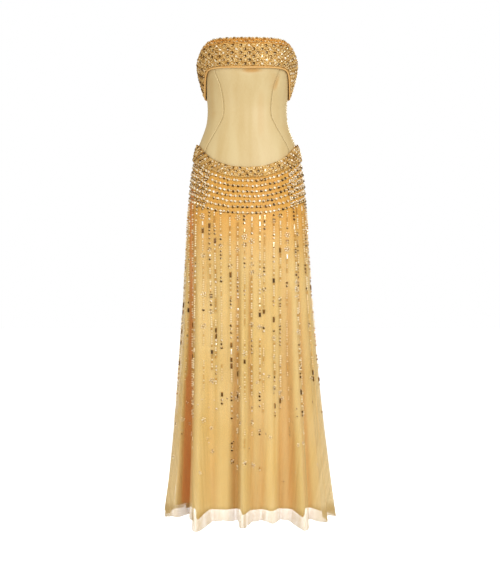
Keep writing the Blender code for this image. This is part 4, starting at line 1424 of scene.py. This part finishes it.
@dataclass
class Cuff:
    """Jewelled cuff turned over the top edge, with piping along its lower edge."""

    form: WornForm
    ground: Material
    piping_satin: Material
    gems: dict[Small, Material]
    claws: Material
    wall: float = 0.0022
    rows: int = 7
    top_stand: float = 0.0095
    hem_stand: float = 0.0068
    side_bulge: float = 0.0065
    front_bulge: float = 0.0030
    bulge_skew: float = 0.8
    # painted shade: the cuff's inner side is a dark red-brown satin, so that the gap under the
    # cuff reads as shade
    facing: Satin = Satin("painted_shade_cuff_facing", "#a9561f", "#8c4317", roughness=0.5)
    half_wall: float = 0.0015
    end_room: float = 0.004
    piping_radius: float = 0.0024
    piping_room: float = 0.0006
    seam_room: float = 0.0003
    zip_room: float = 0.0008
    stone_rows: tuple[float, ...] = (1.9, 3.75, 4.82, 5.78, 6.70, 7.60, 8.48, 9.36)
    small_row: int = 1
    stones_round: int = 36
    stone_size: float = 0.0094
    columns: tuple[int, int] = (150, 76)
    cloth_rows: int = 48
    stone_tones: tuple[float, ...] = (0.04, 0.34, 0.88)
    tone_shares: tuple[float, ...] = (0.64, 0.12, 0.24)
    small_share: float = 0.55
    seed_beside: float = 0.0030
    seed: int = 21
    roll: SmoothTable = field(default_factory=lambda: SmoothTable(
        [(0, -0.0025, 0.0060), (1, -0.0008, 0.0012), (2, 0.0030, 0.0000), (3, 0.0072, 0.0022)]))

    def face(self, angle: Points, place: Points) -> Points:
        """Outer face: places count down the roll, 0 to 3, then down the fall, 3 to 10."""
        angle, place = np.broadcast_arrays(angle, place)
        edges = self.form.edges(angle)
        roll = self.roll.at(np.minimum(place, 3.0))
        share = np.clip((place - 3.0) / self.rows, 0.0, None)
        bulge = self.front_bulge + (self.side_bulge - self.front_bulge) * np.sin(angle) ** 2
        straight = self.top_stand + (self.hem_stand - self.top_stand) * share
        swell = np.sin(math.pi * np.clip(share, 0, 1) ** self.bulge_skew)
        fall = straight + bulge * swell
        settle = ease(share * self.rows / 1.5)
        stand = roll[..., 0] + (fall - roll[..., 0]) * settle
        top = edges.neckline - roll[..., 1]
        height = np.where(place <= 3.0, top, top + (edges.cuff_hem - top) * share)
        return self.form.bodice(angle, height) + out_of(angle) * stand[..., None]

    def edge(self, angle: Points) -> Points:
        """Middle of the cuff's wall along its lower edge."""
        low = np.full_like(angle, 10.0)
        falling = self.face(angle, low) - self.face(angle, low - 1.0)
        normal = unit(np.cross(falling, aside_of(angle)))
        return self.face(angle, low) - normal * self.half_wall

    def piping(self) -> Object:
        """Satin-covered cord, just below the cuff's edge."""
        middle = self.form.room_angle(self.zip_room, TURN, 0.1)
        angle = np.linspace(-TURN + middle, TURN - middle, 361)
        step = 0.01
        along_edge = self.edge(angle + step) - self.edge(angle - step)
        down = unit(np.cross(along_edge, out_of(angle)))
        line = self.edge(angle) + down * (self.piping_radius + self.piping_room)
        curve = bpy.data.curves.new("cuff_piping_cord", "CURVE")
        curve.dimensions = "3D"
        curve.bevel_depth = self.piping_radius
        curve.bevel_resolution = 3
        curve.use_fill_caps = True
        cord = curve.splines.new("POLY")
        cord.points.add(len(line) - 1)
        for spot, point in zip(cord.points, line):
            spot.co = (*point, 1.0)
        shown = placed("cuff_piping_curve", curve)
        mesh = bpy.data.meshes.new_from_object(shown)
        bpy.data.objects.remove(shown)
        mesh.uv_layers.new(name="cloth")
        mesh.shade_smooth()
        return placed("cuff_piping_satin", mesh)

    def jewels(self) -> None:
        """Stones in staggered rows, a lattice of seed beads between them, and claws."""
        last = TURN - self.end_room
        round_cuff = Circuit(self.face, np.linspace(-last, last, 2001), 6.0)
        at, pitch = round_cuff.at, round_cuff.length / self.stones_round
        book = BeadBook(self.face, self.seed)
        for row, place in enumerate(self.stone_rows):
            small = row == self.small_row
            step = (self.stone_rows + (place + 0.6,))[row + 1] - place
            shift = 0.5 if row % 2 else 0.0
            for column in range(self.stones_round):
                spot = (column + shift + 0.25) * pitch
                tone = book.pick(self.stone_tones, self.tone_shares)
                size = self.stone_size * (self.small_share if small else 1.0)
                size *= book.draw(0.94, 1.05)
                book.put(Small.STONE, at(spot), place, size, tone, turn=book.slant(0.28))
                book.put(Small.SEED, at(spot + pitch / 2), place, SEED_BETWEEN,
                         book.draw(0.45, 0.90))
                for side in (-1, 1):
                    for part in () if small else LATTICE:
                        book.put(Small.SEED, at(spot + side * pitch / 2 * part),
                                 place + step * part, SEED_OF_LATTICE, book.draw(0.35, 0.90))
                for part in (0.32, 0.68):
                    for side in (-1, 1):
                        book.put(Small.SEED, at(spot + side * pitch * part / 2),
                                 place + step * 0.05, self.seed_beside, book.draw(0.25, 0.80))
        book.build("cuff", self.gems, JEWELLED)
        book.claw("cuff", self.claws, JEWELLED)

    def build(self) -> None:
        """Makes the cuff's three pieces, its piping and its stones."""
        facing = self.facing.material()
        seam = self.form.room_angle(self.seam_room, SIDE, 0.1)
        middle = self.form.room_angle(self.zip_room, TURN, 0.1)
        for name, first, last in thirds(seam, middle):
            piece, cut = cloth_shell(
                f"cuff_{name}_cloth",
                lambda across, down, a=first, b=last: self.face(a + (b - a) * across, 10.0 * down),
                self.columns[name != "front"], self.cloth_rows, self.wall)
            finish_piece(piece, self.ground, JEWELLED, f"cuff_{name}")
            # the inner side takes the dark satin that paints the shade under the cuff
            piece.data.materials.append(facing)
            piece.modifiers["cloth_wall"].material_offset = 1
            declare_cut(piece, cut, "folded", f"cuff_{name}")
        finish_piece(self.piping(), self.piping_satin, "champagne_satin", "cuff_piping")
        self.jewels()


@dataclass
class Skirt:
    """Net overlay that hangs in soft folds over a shorter satin lining."""

    form: WornForm
    net: Material
    satin: Material
    net_wall: float = 0.0006
    satin_wall: float = 0.0009
    seam_room: float = 0.0003
    columns: tuple[int, int] = (264, 132)
    net_rows: int = 100
    satin_rows: int = 72

    def build(self) -> None:
        """Makes three pieces of each layer."""
        seam = self.form.room_angle(self.seam_room, SIDE, 0.0)
        for name, first, last in thirds(seam, seam):
            spread, columns = self.form.even_columns(first, last), self.columns[name != "front"]
            for piece, face, across, down, wall, material, slot, node in (
                    ("net", self.form.overlay, columns, self.net_rows, self.net_wall, self.net,
                     "gold_net", "skirt_overlay"),
                    ("satin_lining", self.form.lining, columns * 3 // 4, self.satin_rows,
                     self.satin_wall, self.satin, "gold_satin_lining", "skirt_lining")):
                shell, cut = cloth_shell(f"{piece}_{name}", lambda x, y: face(spread(x), y),
                                         across, down, wall)
                finish_piece(shell, material, slot, f"{node}_{name}")
                declare_cut(shell, cut, "hung", f"hip_trim_{name}")


@dataclass
class HipTrim:
    """Scalloped band of large stones over the hip seam."""

    form: WornForm
    ground: Material
    gems: dict[Small, Material]
    claws: Material
    above: float = 0.006
    stand: float = 0.0053
    wall: float = 0.0016
    seam_room: float = 0.0003
    stones_round: int = 42
    row_pitch: float = 0.0098
    stone_size: float = 0.0094
    columns: tuple[int, int] = (140, 70)
    cloth_rows: int = 16
    stone_rows: int = 6
    first_drop: float = 0.0045
    end_room: float = 0.002
    hem_room: float = 0.002
    stone_tones: tuple[float, ...] = (0.06, 0.32, 0.80)
    tone_shares: tuple[float, ...] = (0.42, 0.30, 0.28)
    seed: int = 31

    def face(self, angle: Points, share: Points) -> Points:
        """Outer face of the band, from its top edge to its lower edge."""
        edges = self.form.edges(angle)
        top = edges.hip_seam + self.above
        height = top + (edges.trim_hem - top) * share
        return self.form.hanging(angle, height, self.stand)

    def build(self) -> None:
        """Makes the band's three pieces and the stones on it."""
        seam = self.form.room_angle(self.seam_room, SIDE, -0.1)
        for name, first, last in thirds(seam, seam):
            piece, cut = cloth_shell(
                f"hip_band_{name}",
                lambda across, down, a=first, b=last: self.face(a + (b - a) * across, down),
                self.columns[name != "front"], self.cloth_rows, self.wall)
            finish_piece(piece, self.ground, JEWELLED, f"hip_trim_{name}")
            declare_cut(piece, cut, "laid", f"net_{name}")
        self.jewels()

    def jewels(self) -> None:
        """Rows of stones, staggered like scallops, tied by short runs of seed beads."""
        last = TURN - self.end_room
        round_hip = Circuit(self.face, np.linspace(-last, last, 2001), 0.3)
        at, pitch = round_hip.at, round_hip.length / self.stones_round
        book = BeadBook(self.face, self.seed)
        for column in range(self.stones_round):
            for row in range(self.stone_rows):
                shift = 0.5 if row % 2 else 0.0
                angle = at((column + shift) * pitch)
                edges = self.form.edges(np.array(angle))
                tall = float(edges.hip_seam + self.above - edges.trim_hem)
                drop = self.first_drop + row * self.row_pitch
                if drop > tall - self.hem_room:
                    break
                tone = book.pick(self.stone_tones, self.tone_shares)
                book.put(Small.STONE, angle, drop / tall, self.stone_size * book.draw(0.94, 1.06),
                         tone, turn=book.slant(0.45))
                for side in (-1, 1):
                    for part in LATTICE:
                        if drop + self.row_pitch * part > tall - self.hem_room / 2:
                            continue
                        book.put(Small.SEED, at((column + shift + side * 0.5 * part) * pitch),
                                 (drop + self.row_pitch * part) / tall, SEED_OF_LATTICE,
                                 book.draw(0.3, 0.85))
                book.put(Small.SEED, at((column + shift + 0.5) * pitch), drop / tall,
                         SEED_BETWEEN, book.draw(0.35, 0.8))
        book.build("hip_band", self.gems, JEWELLED)
        book.claw("hip_band", self.claws, JEWELLED)


class Strung(Enum):
    """Parts that a string is made of."""

    RUN = "run of seed beads"
    STONES = "round stones"
    DARK_BAR = "smoky baguette"
    LIGHT_BAR = "clear baguette"
    CROSS_BARS = "two short bars across"
    FLOWER = "flower of stones"
    GAP = "bare net"


class Stretch(NamedTuple):
    """Shares of the parts of a string, in their order, down to some depth of it."""

    until: float
    weights: tuple[float, ...]


STRETCHES = (
    Stretch(0.16, (0.36, 0.32, 0.03, 0.15, 0.02, 0.12, 0.00)),
    Stretch(0.36, (0.32, 0.33, 0.08, 0.08, 0.03, 0.12, 0.04)),
    Stretch(0.64, (0.38, 0.22, 0.14, 0.02, 0.01, 0.09, 0.14)),
    Stretch(9.00, (0.14, 0.18, 0.06, 0.00, 0.00, 0.22, 0.40)),
)
PLAINER = (1.5, 0.7, 0.5, 0.5, 0.6, 0.6, 1.6)


class Bar(NamedTuple):
    """Lengths, width and tones of a cut bar on a string."""

    shortest: float
    longest: float
    width: float
    tones: tuple[float, ...]
    shares: tuple[float, ...] = (1.0,)


BARS = {Strung.DARK_BAR: Bar(0.012, 0.016, 0.0060, (0.08,)),
        Strung.LIGHT_BAR: Bar(0.012, 0.018, 0.0046, (0.56, 0.80), (0.65, 0.35))}


@dataclass
class Beadwork:
    """Swags of stones under the hip seam, and strings that thin out down the skirt."""

    form: WornForm
    gems: dict[Small, Material]
    swag_drops: tuple[float, ...] = (0.034, 0.050, 0.066, 0.080, 0.095, 0.111, 0.128)
    swag_flatness: float = 0.45
    swag_pitch: float = 0.0135
    strings: int = 46
    string_top: float = -0.322
    string_end: float = -1.06
    seed_pitch: float = 0.0066
    stone_pitch: float = 0.0104
    bar_room: float = 0.002
    cross_pitch: float = 0.0074
    flower_room: float = 0.007
    flower_pitch: float = 0.013
    gap_pitch: float = 0.016
    string_stone: tuple[float, float] = (0.0068, 0.0088)
    hip_side: float = 0.78
    swag_tones: tuple[float, ...] = (0.05, 0.46, 0.90)
    filler_tones: tuple[float, ...] = (0.50, 0.62, 0.78)
    filler_shares: tuple[float, ...] = (0.35, 0.45, 0.20)
    swag_seed_size: float = 0.0038
    swag_seed_aside: float = 0.0019
    scattered: int = 150
    swag_seed: int = 41
    string_seed: int = 51

    def face(self, angle: Points, height: Points) -> Points:
        """Outer face of the net at an angle and a height."""
        return self.form.hanging(angle, height, self.form.overlay_stand)

    def swag_height(self, angle: Points, drop: float) -> Points:
        """Height of a swag, which follows the seam at the top and flattens lower down."""
        centre = EDGES[0].hip_seam
        flat = self.swag_flatness * drop / self.swag_drops[-1]
        return centre - drop + (self.form.edges(angle).hip_seam - centre) * (1 - flat)

    def swags(self) -> None:
        """Rows of stones with seed beads between them, filled in at the hips."""
        book = BeadBook(self.face, self.swag_seed)
        fine = np.linspace(-TURN, TURN, 2401)
        for row, drop in enumerate(self.swag_drops):
            height = self.swag_height(fine, drop)
            swag = Circuit(self.face, fine, height)
            count = int(swag.length / self.swag_pitch)
            pitch = swag.length / count
            for i in range(count):
                spot = (i + 0.5 * (row % 2)) * pitch + book.rng.normal(0, 0.0010)
                angle, level = swag.at(spot), swag.at(spot, height)
                dark = 0.55 if math.sin(3.1 * angle + 1.7 * row) > 0.1 else 0.25
                bright = 0.85 - dark
                if abs(math.sin(angle)) > self.hip_side:
                    dark, bright = 0.16, 0.20
                tone = book.pick(self.swag_tones, (dark, 1 - dark - bright, bright))
                size = book.draw(0.0082, 0.0096)
                book.put(Small.STONE, angle, level + book.rng.normal(0, 0.0006), size, tone,
                         turn=book.slant(0.45))
                spot += pitch / 2
                between = swag.at(spot)
                for side in (-1, 1):
                    book.put(Small.SEED, between, swag.at(spot, height), self.swag_seed_size,
                             book.draw(0.5, 1), shift=(side * self.swag_seed_aside, 0.0))
                if not row or abs(math.sin(angle)) < self.hip_side:
                    continue
                above = level + (drop - self.swag_drops[row - 1]) / 2
                for place in (angle, between):
                    book.put(Small.STONE, place, above + book.rng.normal(0, 0.0010),
                             book.draw(0.0054, 0.0070),
                             book.pick(self.filler_tones, self.filler_shares),
                             turn=book.draw(0, 3))
        book.build("swag", self.gems, "gold_net")

    def flower(self, book: BeadBook, column: float, height: float, petals: int,
               size: float, tone: float) -> None:
        """Small flower of stones round one spot of a string."""
        reach = size * 0.88
        for petal in range(petals):
            turn = 2 * math.pi * (petal + 0.3) / petals
            stone = book.draw(0, 1) < 0.45
            book.put(Small.STONE if stone else Small.SEED, column, height,
                     size * book.draw(0.6, 0.8), tone if stone else book.draw(0.8, 1.0),
                     turn=turn, shift=(reach * math.sin(turn), reach * math.cos(turn)))
        book.put(Small.STONE, column, height, size * 0.78, 1.0)

    def part(self, book: BeadBook, kind: Strung, column: float, height: float, rich: bool,
             room: float) -> float:
        """Puts one part on a string.

        Args:
            book: where the parts are collected.
            kind: what comes next on the string.
            column: the string's place round the hem.
            height: where the part starts.
            rich: True on a string with more stones and larger beads.
            room: how much the beadwork has thinned out, from 0 to 1.

        Returns:
            The height at which the part ends.
        """
        rng = book.rng
        if kind is Strung.RUN:
            for _ in range(max(int(rng.integers(3, 9) * (1 - 0.6 * room)), 2)):
                tone = book.pick([1.0, 0.85, 0.30], [0.45, 0.25, 0.30])
                tone = tone if rich else 0.25 + 0.6 * tone
                book.put(Small.SEED, column, height, 0.0056 if rich else 0.0050, tone)
                height -= self.seed_pitch
        elif kind is Strung.STONES:
            for _ in range(int(rng.integers(1, 4))):
                book.put(Small.STONE, column, height, book.draw(*self.string_stone),
                         book.pick([0.04, 0.88]), turn=book.slant(0.4))
                height -= self.stone_pitch
        elif kind in BARS:
            bar = BARS[kind]
            length = book.draw(bar.shortest, bar.longest)
            tone = book.pick(bar.tones, bar.shares) if len(bar.tones) > 1 else bar.tones[0]
            height -= length / 2
            book.put(Small.BAGUETTE, column, height, bar.width, tone, stretch=length / bar.width)
            height -= length / 2 + self.bar_room
        elif kind is Strung.CROSS_BARS:
            for _ in range(2):
                book.put(Small.BAGUETTE, column, height, 0.0036, 0.10, turn=SIDE, stretch=2.6)
                book.put(Small.SEED, column, height - 0.0035, 0.0040, 0.9)
                height -= self.cross_pitch
        elif kind is Strung.FLOWER:
            height -= self.flower_room
            self.flower(book, column, height, int(book.pick([5, 5, 6])),
                        book.draw(0.0062, 0.0076), book.pick([0.12, 0.85]))
            height -= self.flower_pitch
        else:
            height -= self.gap_pitch * (1 + 2 * room)
        return height - rng.uniform(0.001, 0.005) * (1 + 9 * room)

    def string(self, book: BeadBook, column: float, rich: bool) -> None:
        """One string, from the swags down: beads, stones, bars and flowers."""
        rng = book.rng
        end = self.string_end + rng.uniform(-0.02, 0.20)
        angle = self.form.column_angle(np.array(column), np.array(self.string_top))
        lowest_swag = float(self.swag_height(angle, self.swag_drops[-1]))
        height = lowest_swag - 0.009 + rng.uniform(-0.003, 0.002)
        while height > end:
            depth = (self.string_top - height) / (self.string_top - self.string_end)
            weights = next(row.weights for row in STRETCHES if depth <= row.until)
            plain = not rich and depth > 0.14
            shares = np.array([w * s for w, s in zip(weights, PLAINER)] if plain else weights)
            kind = list(Strung)[int(rng.choice(len(shares), p=shares / shares.sum()))]
            room = float(np.clip((depth - 0.62) / 0.38, 0.0, 1.0))
            height = self.part(book, kind, column, height, rich, room)

    def build(self) -> None:
        """Makes the swags and the strings, and the beads scattered below them."""
        self.swags()

        def surface(column: Points, height: Points) -> Points:
            """Outer face of the net, by the place on the hem that a thread ends at."""
            return self.face(self.form.column_angle(column, height), height)

        book = BeadBook(surface, self.string_seed)
        hip = Circuit(surface, np.linspace(-TURN, TURN, 2401), -0.36)
        for index in range(self.strings):
            share = (index + 0.5 + book.draw(-0.20, 0.20)) / self.strings
            self.string(book, hip.at(share * hip.length), rich=index % 3 != 1)
        spread = self.form.even_columns(-TURN, TURN)
        for _ in range(self.scattered):
            column = float(spread(np.array(book.draw(0, 1))))
            height = float(book.rng.triangular(-1.12, -0.80, -0.72))
            if book.draw(0, 1) < 0.45:
                self.flower(book, column, height, 5, 0.0050, book.pick([0.3, 0.8]))
            else:
                book.put(Small.STONE, column, height, 0.0048, book.pick([0.1, 0.9]))
        book.build("string", self.gems, "gold_net", sides=6)


@dataclass
class Zip:
    """Concealed zip at the centre back: two tapes, coil teeth, and the metal slider."""

    form: WornForm
    tape: Material
    metal: Material
    top: float = 0.046
    tooth_pitch: float = 0.0022
    tape_width: float = 0.0062
    stand: float = 0.0026
    tooth: tuple[float, float, float] = (0.0030, 0.0014, 0.0012)
    tooth_aside: float = 0.0006
    tooth_inset: float = 0.0008
    tape_wall: float = 0.0005
    seed: int = 61

    def line(self, height: Points, aside: Points) -> Points:
        """Places just inside the centre-back seam."""
        back = self.form.bodice(np.full_like(height, TURN), height)
        return np.stack([aside, back[..., 1] - self.stand, height], axis=-1)

    def build(self) -> None:
        """Makes the tapes and teeth in place of the chain, and gilds the slider and pull."""
        bottom = float(self.form.edges(np.array(TURN)).hip_seam) + 0.002
        piece, cut = cloth_shell(
            "zip_tapes",
            lambda across, down: self.line(self.top + (bottom - self.top) * down,
                                           self.tape_width * (2 * across - 1)),
            16, 60, self.tape_wall)
        finish_piece(piece, self.tape, "champagne_satin")
        declare_cut(piece, cut, "laid", "satin_back_left", "satin_back_right")
        height = np.arange(self.top - 0.001, bottom, -self.tooth_pitch)
        count = len(height)
        side = np.where(np.arange(count) % 2, 1.0, -1.0)
        inset = np.array([0.0, self.tooth_inset, 0.0])
        centres = self.line(height, side * self.tooth_aside) - inset
        bm = bmesh.new()
        bmesh.ops.create_cube(bm, size=1.0)
        bmesh.ops.bevel(bm, geom=bm.edges[:], offset=0.22, segments=1, profile=0.5,
                        affect="EDGES", material=-1)
        rng = np.random.default_rng(self.seed)
        places = Places(centres, np.tile([1.0, 0.0, 0.0], (count, 1)),
                        np.tile([0.0, -1.0, 0.0], (count, 1)),
                        np.tile(self.tooth, (count, 1)), np.full(count, 0.6))
        teeth = joined("zip_teeth", Template(bm), places, 0.1, rng)
        finish_piece(teeth, self.metal, "gilt_zip_metal", "zip_chain")
        for name in ("zip_slider", "zip_pull"):
            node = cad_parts[name]
            node.data.materials.clear()
            node.data.materials.append(self.metal)


@dataclass
class Studio:
    """Pale floor, soft lights and the camera at the photograph's angle."""

    floor_height: float = -1.63
    floor_size: float = 60.0
    soft_colour: tuple[float, float, float, float] = (1.0, 0.87, 0.66, 1.0)
    soft_strength: float = 0.64
    glow_colour: tuple[float, float, float, float] = (0.80, 0.87, 1.0, 1.0)
    glow_strength: float = 0.75
    camera_place: tuple[float, float, float] = (0.0081, -4.2, -0.516)
    focal_px: float = 1400.0
    long_side_px: float = 568.0
    sensor_mm: float = 36.0

    def light(self, name: str, place: tuple[float, float, float], level: float, size: float,
              power: float) -> None:
        """One soft square light that faces the gown's middle at some level."""
        lamp = bpy.data.lights.new(name, "AREA")
        lamp.size = size
        lamp.energy = power
        shown = placed(name, lamp)
        shown.location = place
        facing = Vector((0.0, 0.0, level)) - Vector(place)
        shown.rotation_euler = facing.to_track_quat("-Z", "Y").to_euler()

    def build(self) -> None:
        """Makes the floor, the white surroundings, the lights and the camera."""
        bm = bmesh.new()
        bmesh.ops.create_grid(bm, x_segments=1, y_segments=1, size=self.floor_size / 2)
        bmesh.ops.translate(bm, vec=(0.0, 0.0, self.floor_height), verts=bm.verts)
        mesh = bpy.data.meshes.new("studio_floor")
        bm.to_mesh(mesh)
        bm.free()
        floor = placed("studio_floor", mesh)
        material, tree, shader = new_material("backlit_white_acrylic_sheet")
        cloud = noise(tree, on_body(tree), 1.5)
        plug(tree, shader, {
            "Base Color": ramp(tree, cloud, [(0.3, "#fbfbfa"), (0.7, "#ffffff")]),
            "Roughness": 0.9, "Emission Color": self.glow_colour,
            "Emission Strength": self.glow_strength})
        mesh.materials.append(material)
        floor.visible_diffuse = False
        floor.visible_glossy = False
        floor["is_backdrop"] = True
        world = bpy.data.worlds.new("white_studio")
        world.use_nodes = True
        sky = world.node_tree
        sky.nodes.clear()
        seen = add(sky, "Background", inputs={"Color": (1.0, 1.0, 1.0, 1.0), "Strength": 1.0})
        soft = add(sky, "Background", inputs={"Color": self.soft_colour,
                                              "Strength": self.soft_strength})
        rays = add(sky, "LightPath")
        mixed = add(sky, "MixShader", inputs={0: rays.outputs["Is Camera Ray"],
                                              1: soft.outputs[0], 2: seen.outputs[0]})
        add(sky, "OutputWorld", inputs={"Surface": mixed.outputs[0]})
        bpy.context.scene.world = world
        self.light("key", (1.5, -3.5, 0.8), -0.45, 2.2, 79.0)
        self.light("low_fill", (-2.2, -2.6, -0.95), -0.95, 1.4, 20.0)
        self.light("back_key", (0.7, 3.8, 0.9), -0.45, 1.5, 70.0)
        lens = bpy.data.cameras.new("photo_camera")
        lens.sensor_width = self.sensor_mm
        lens.lens = self.focal_px * self.sensor_mm / self.long_side_px
        camera = placed("photo_camera", lens)
        camera.location = self.camera_place
        camera.rotation_euler = (SIDE, 0.0, 0.0)
        bpy.context.scene.camera = camera
        bpy.context.scene.view_settings.view_transform = "Standard"


def main() -> None:
    """Builds the gown's pieces in order, and the studio round them."""
    logging.basicConfig(level=logging.INFO, format="%(message)s")
    form = WornForm()
    champagne = CHAMPAGNE.material()
    glass = CUT_GLASS.material()
    gems = {Small.STONE: glass, Small.SEED: SEED_GLASS.material(), Small.BAGUETTE: glass}
    claws = CLAW_METAL.material()
    Bodice(form, champagne, THREAD.material()).build()
    Cuff(form, CUFF_GROUND.material(), PIPING.material(), gems, claws).build()
    Skirt(form, SilkNet().material(), LINING.material()).build()
    HipTrim(form, BeadedGround().material(), gems, claws).build()
    Beadwork(form, gems).build()
    Zip(form, champagne, GiltMetal().material()).build()
    Studio().build()
    boxes = {"cad": CAD_BOX, "visual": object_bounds()}
    ({key: [list(map(float, corner)) for corner in box]
               for key, box in boxes.items()})


if __name__ == "__main__":
    main()
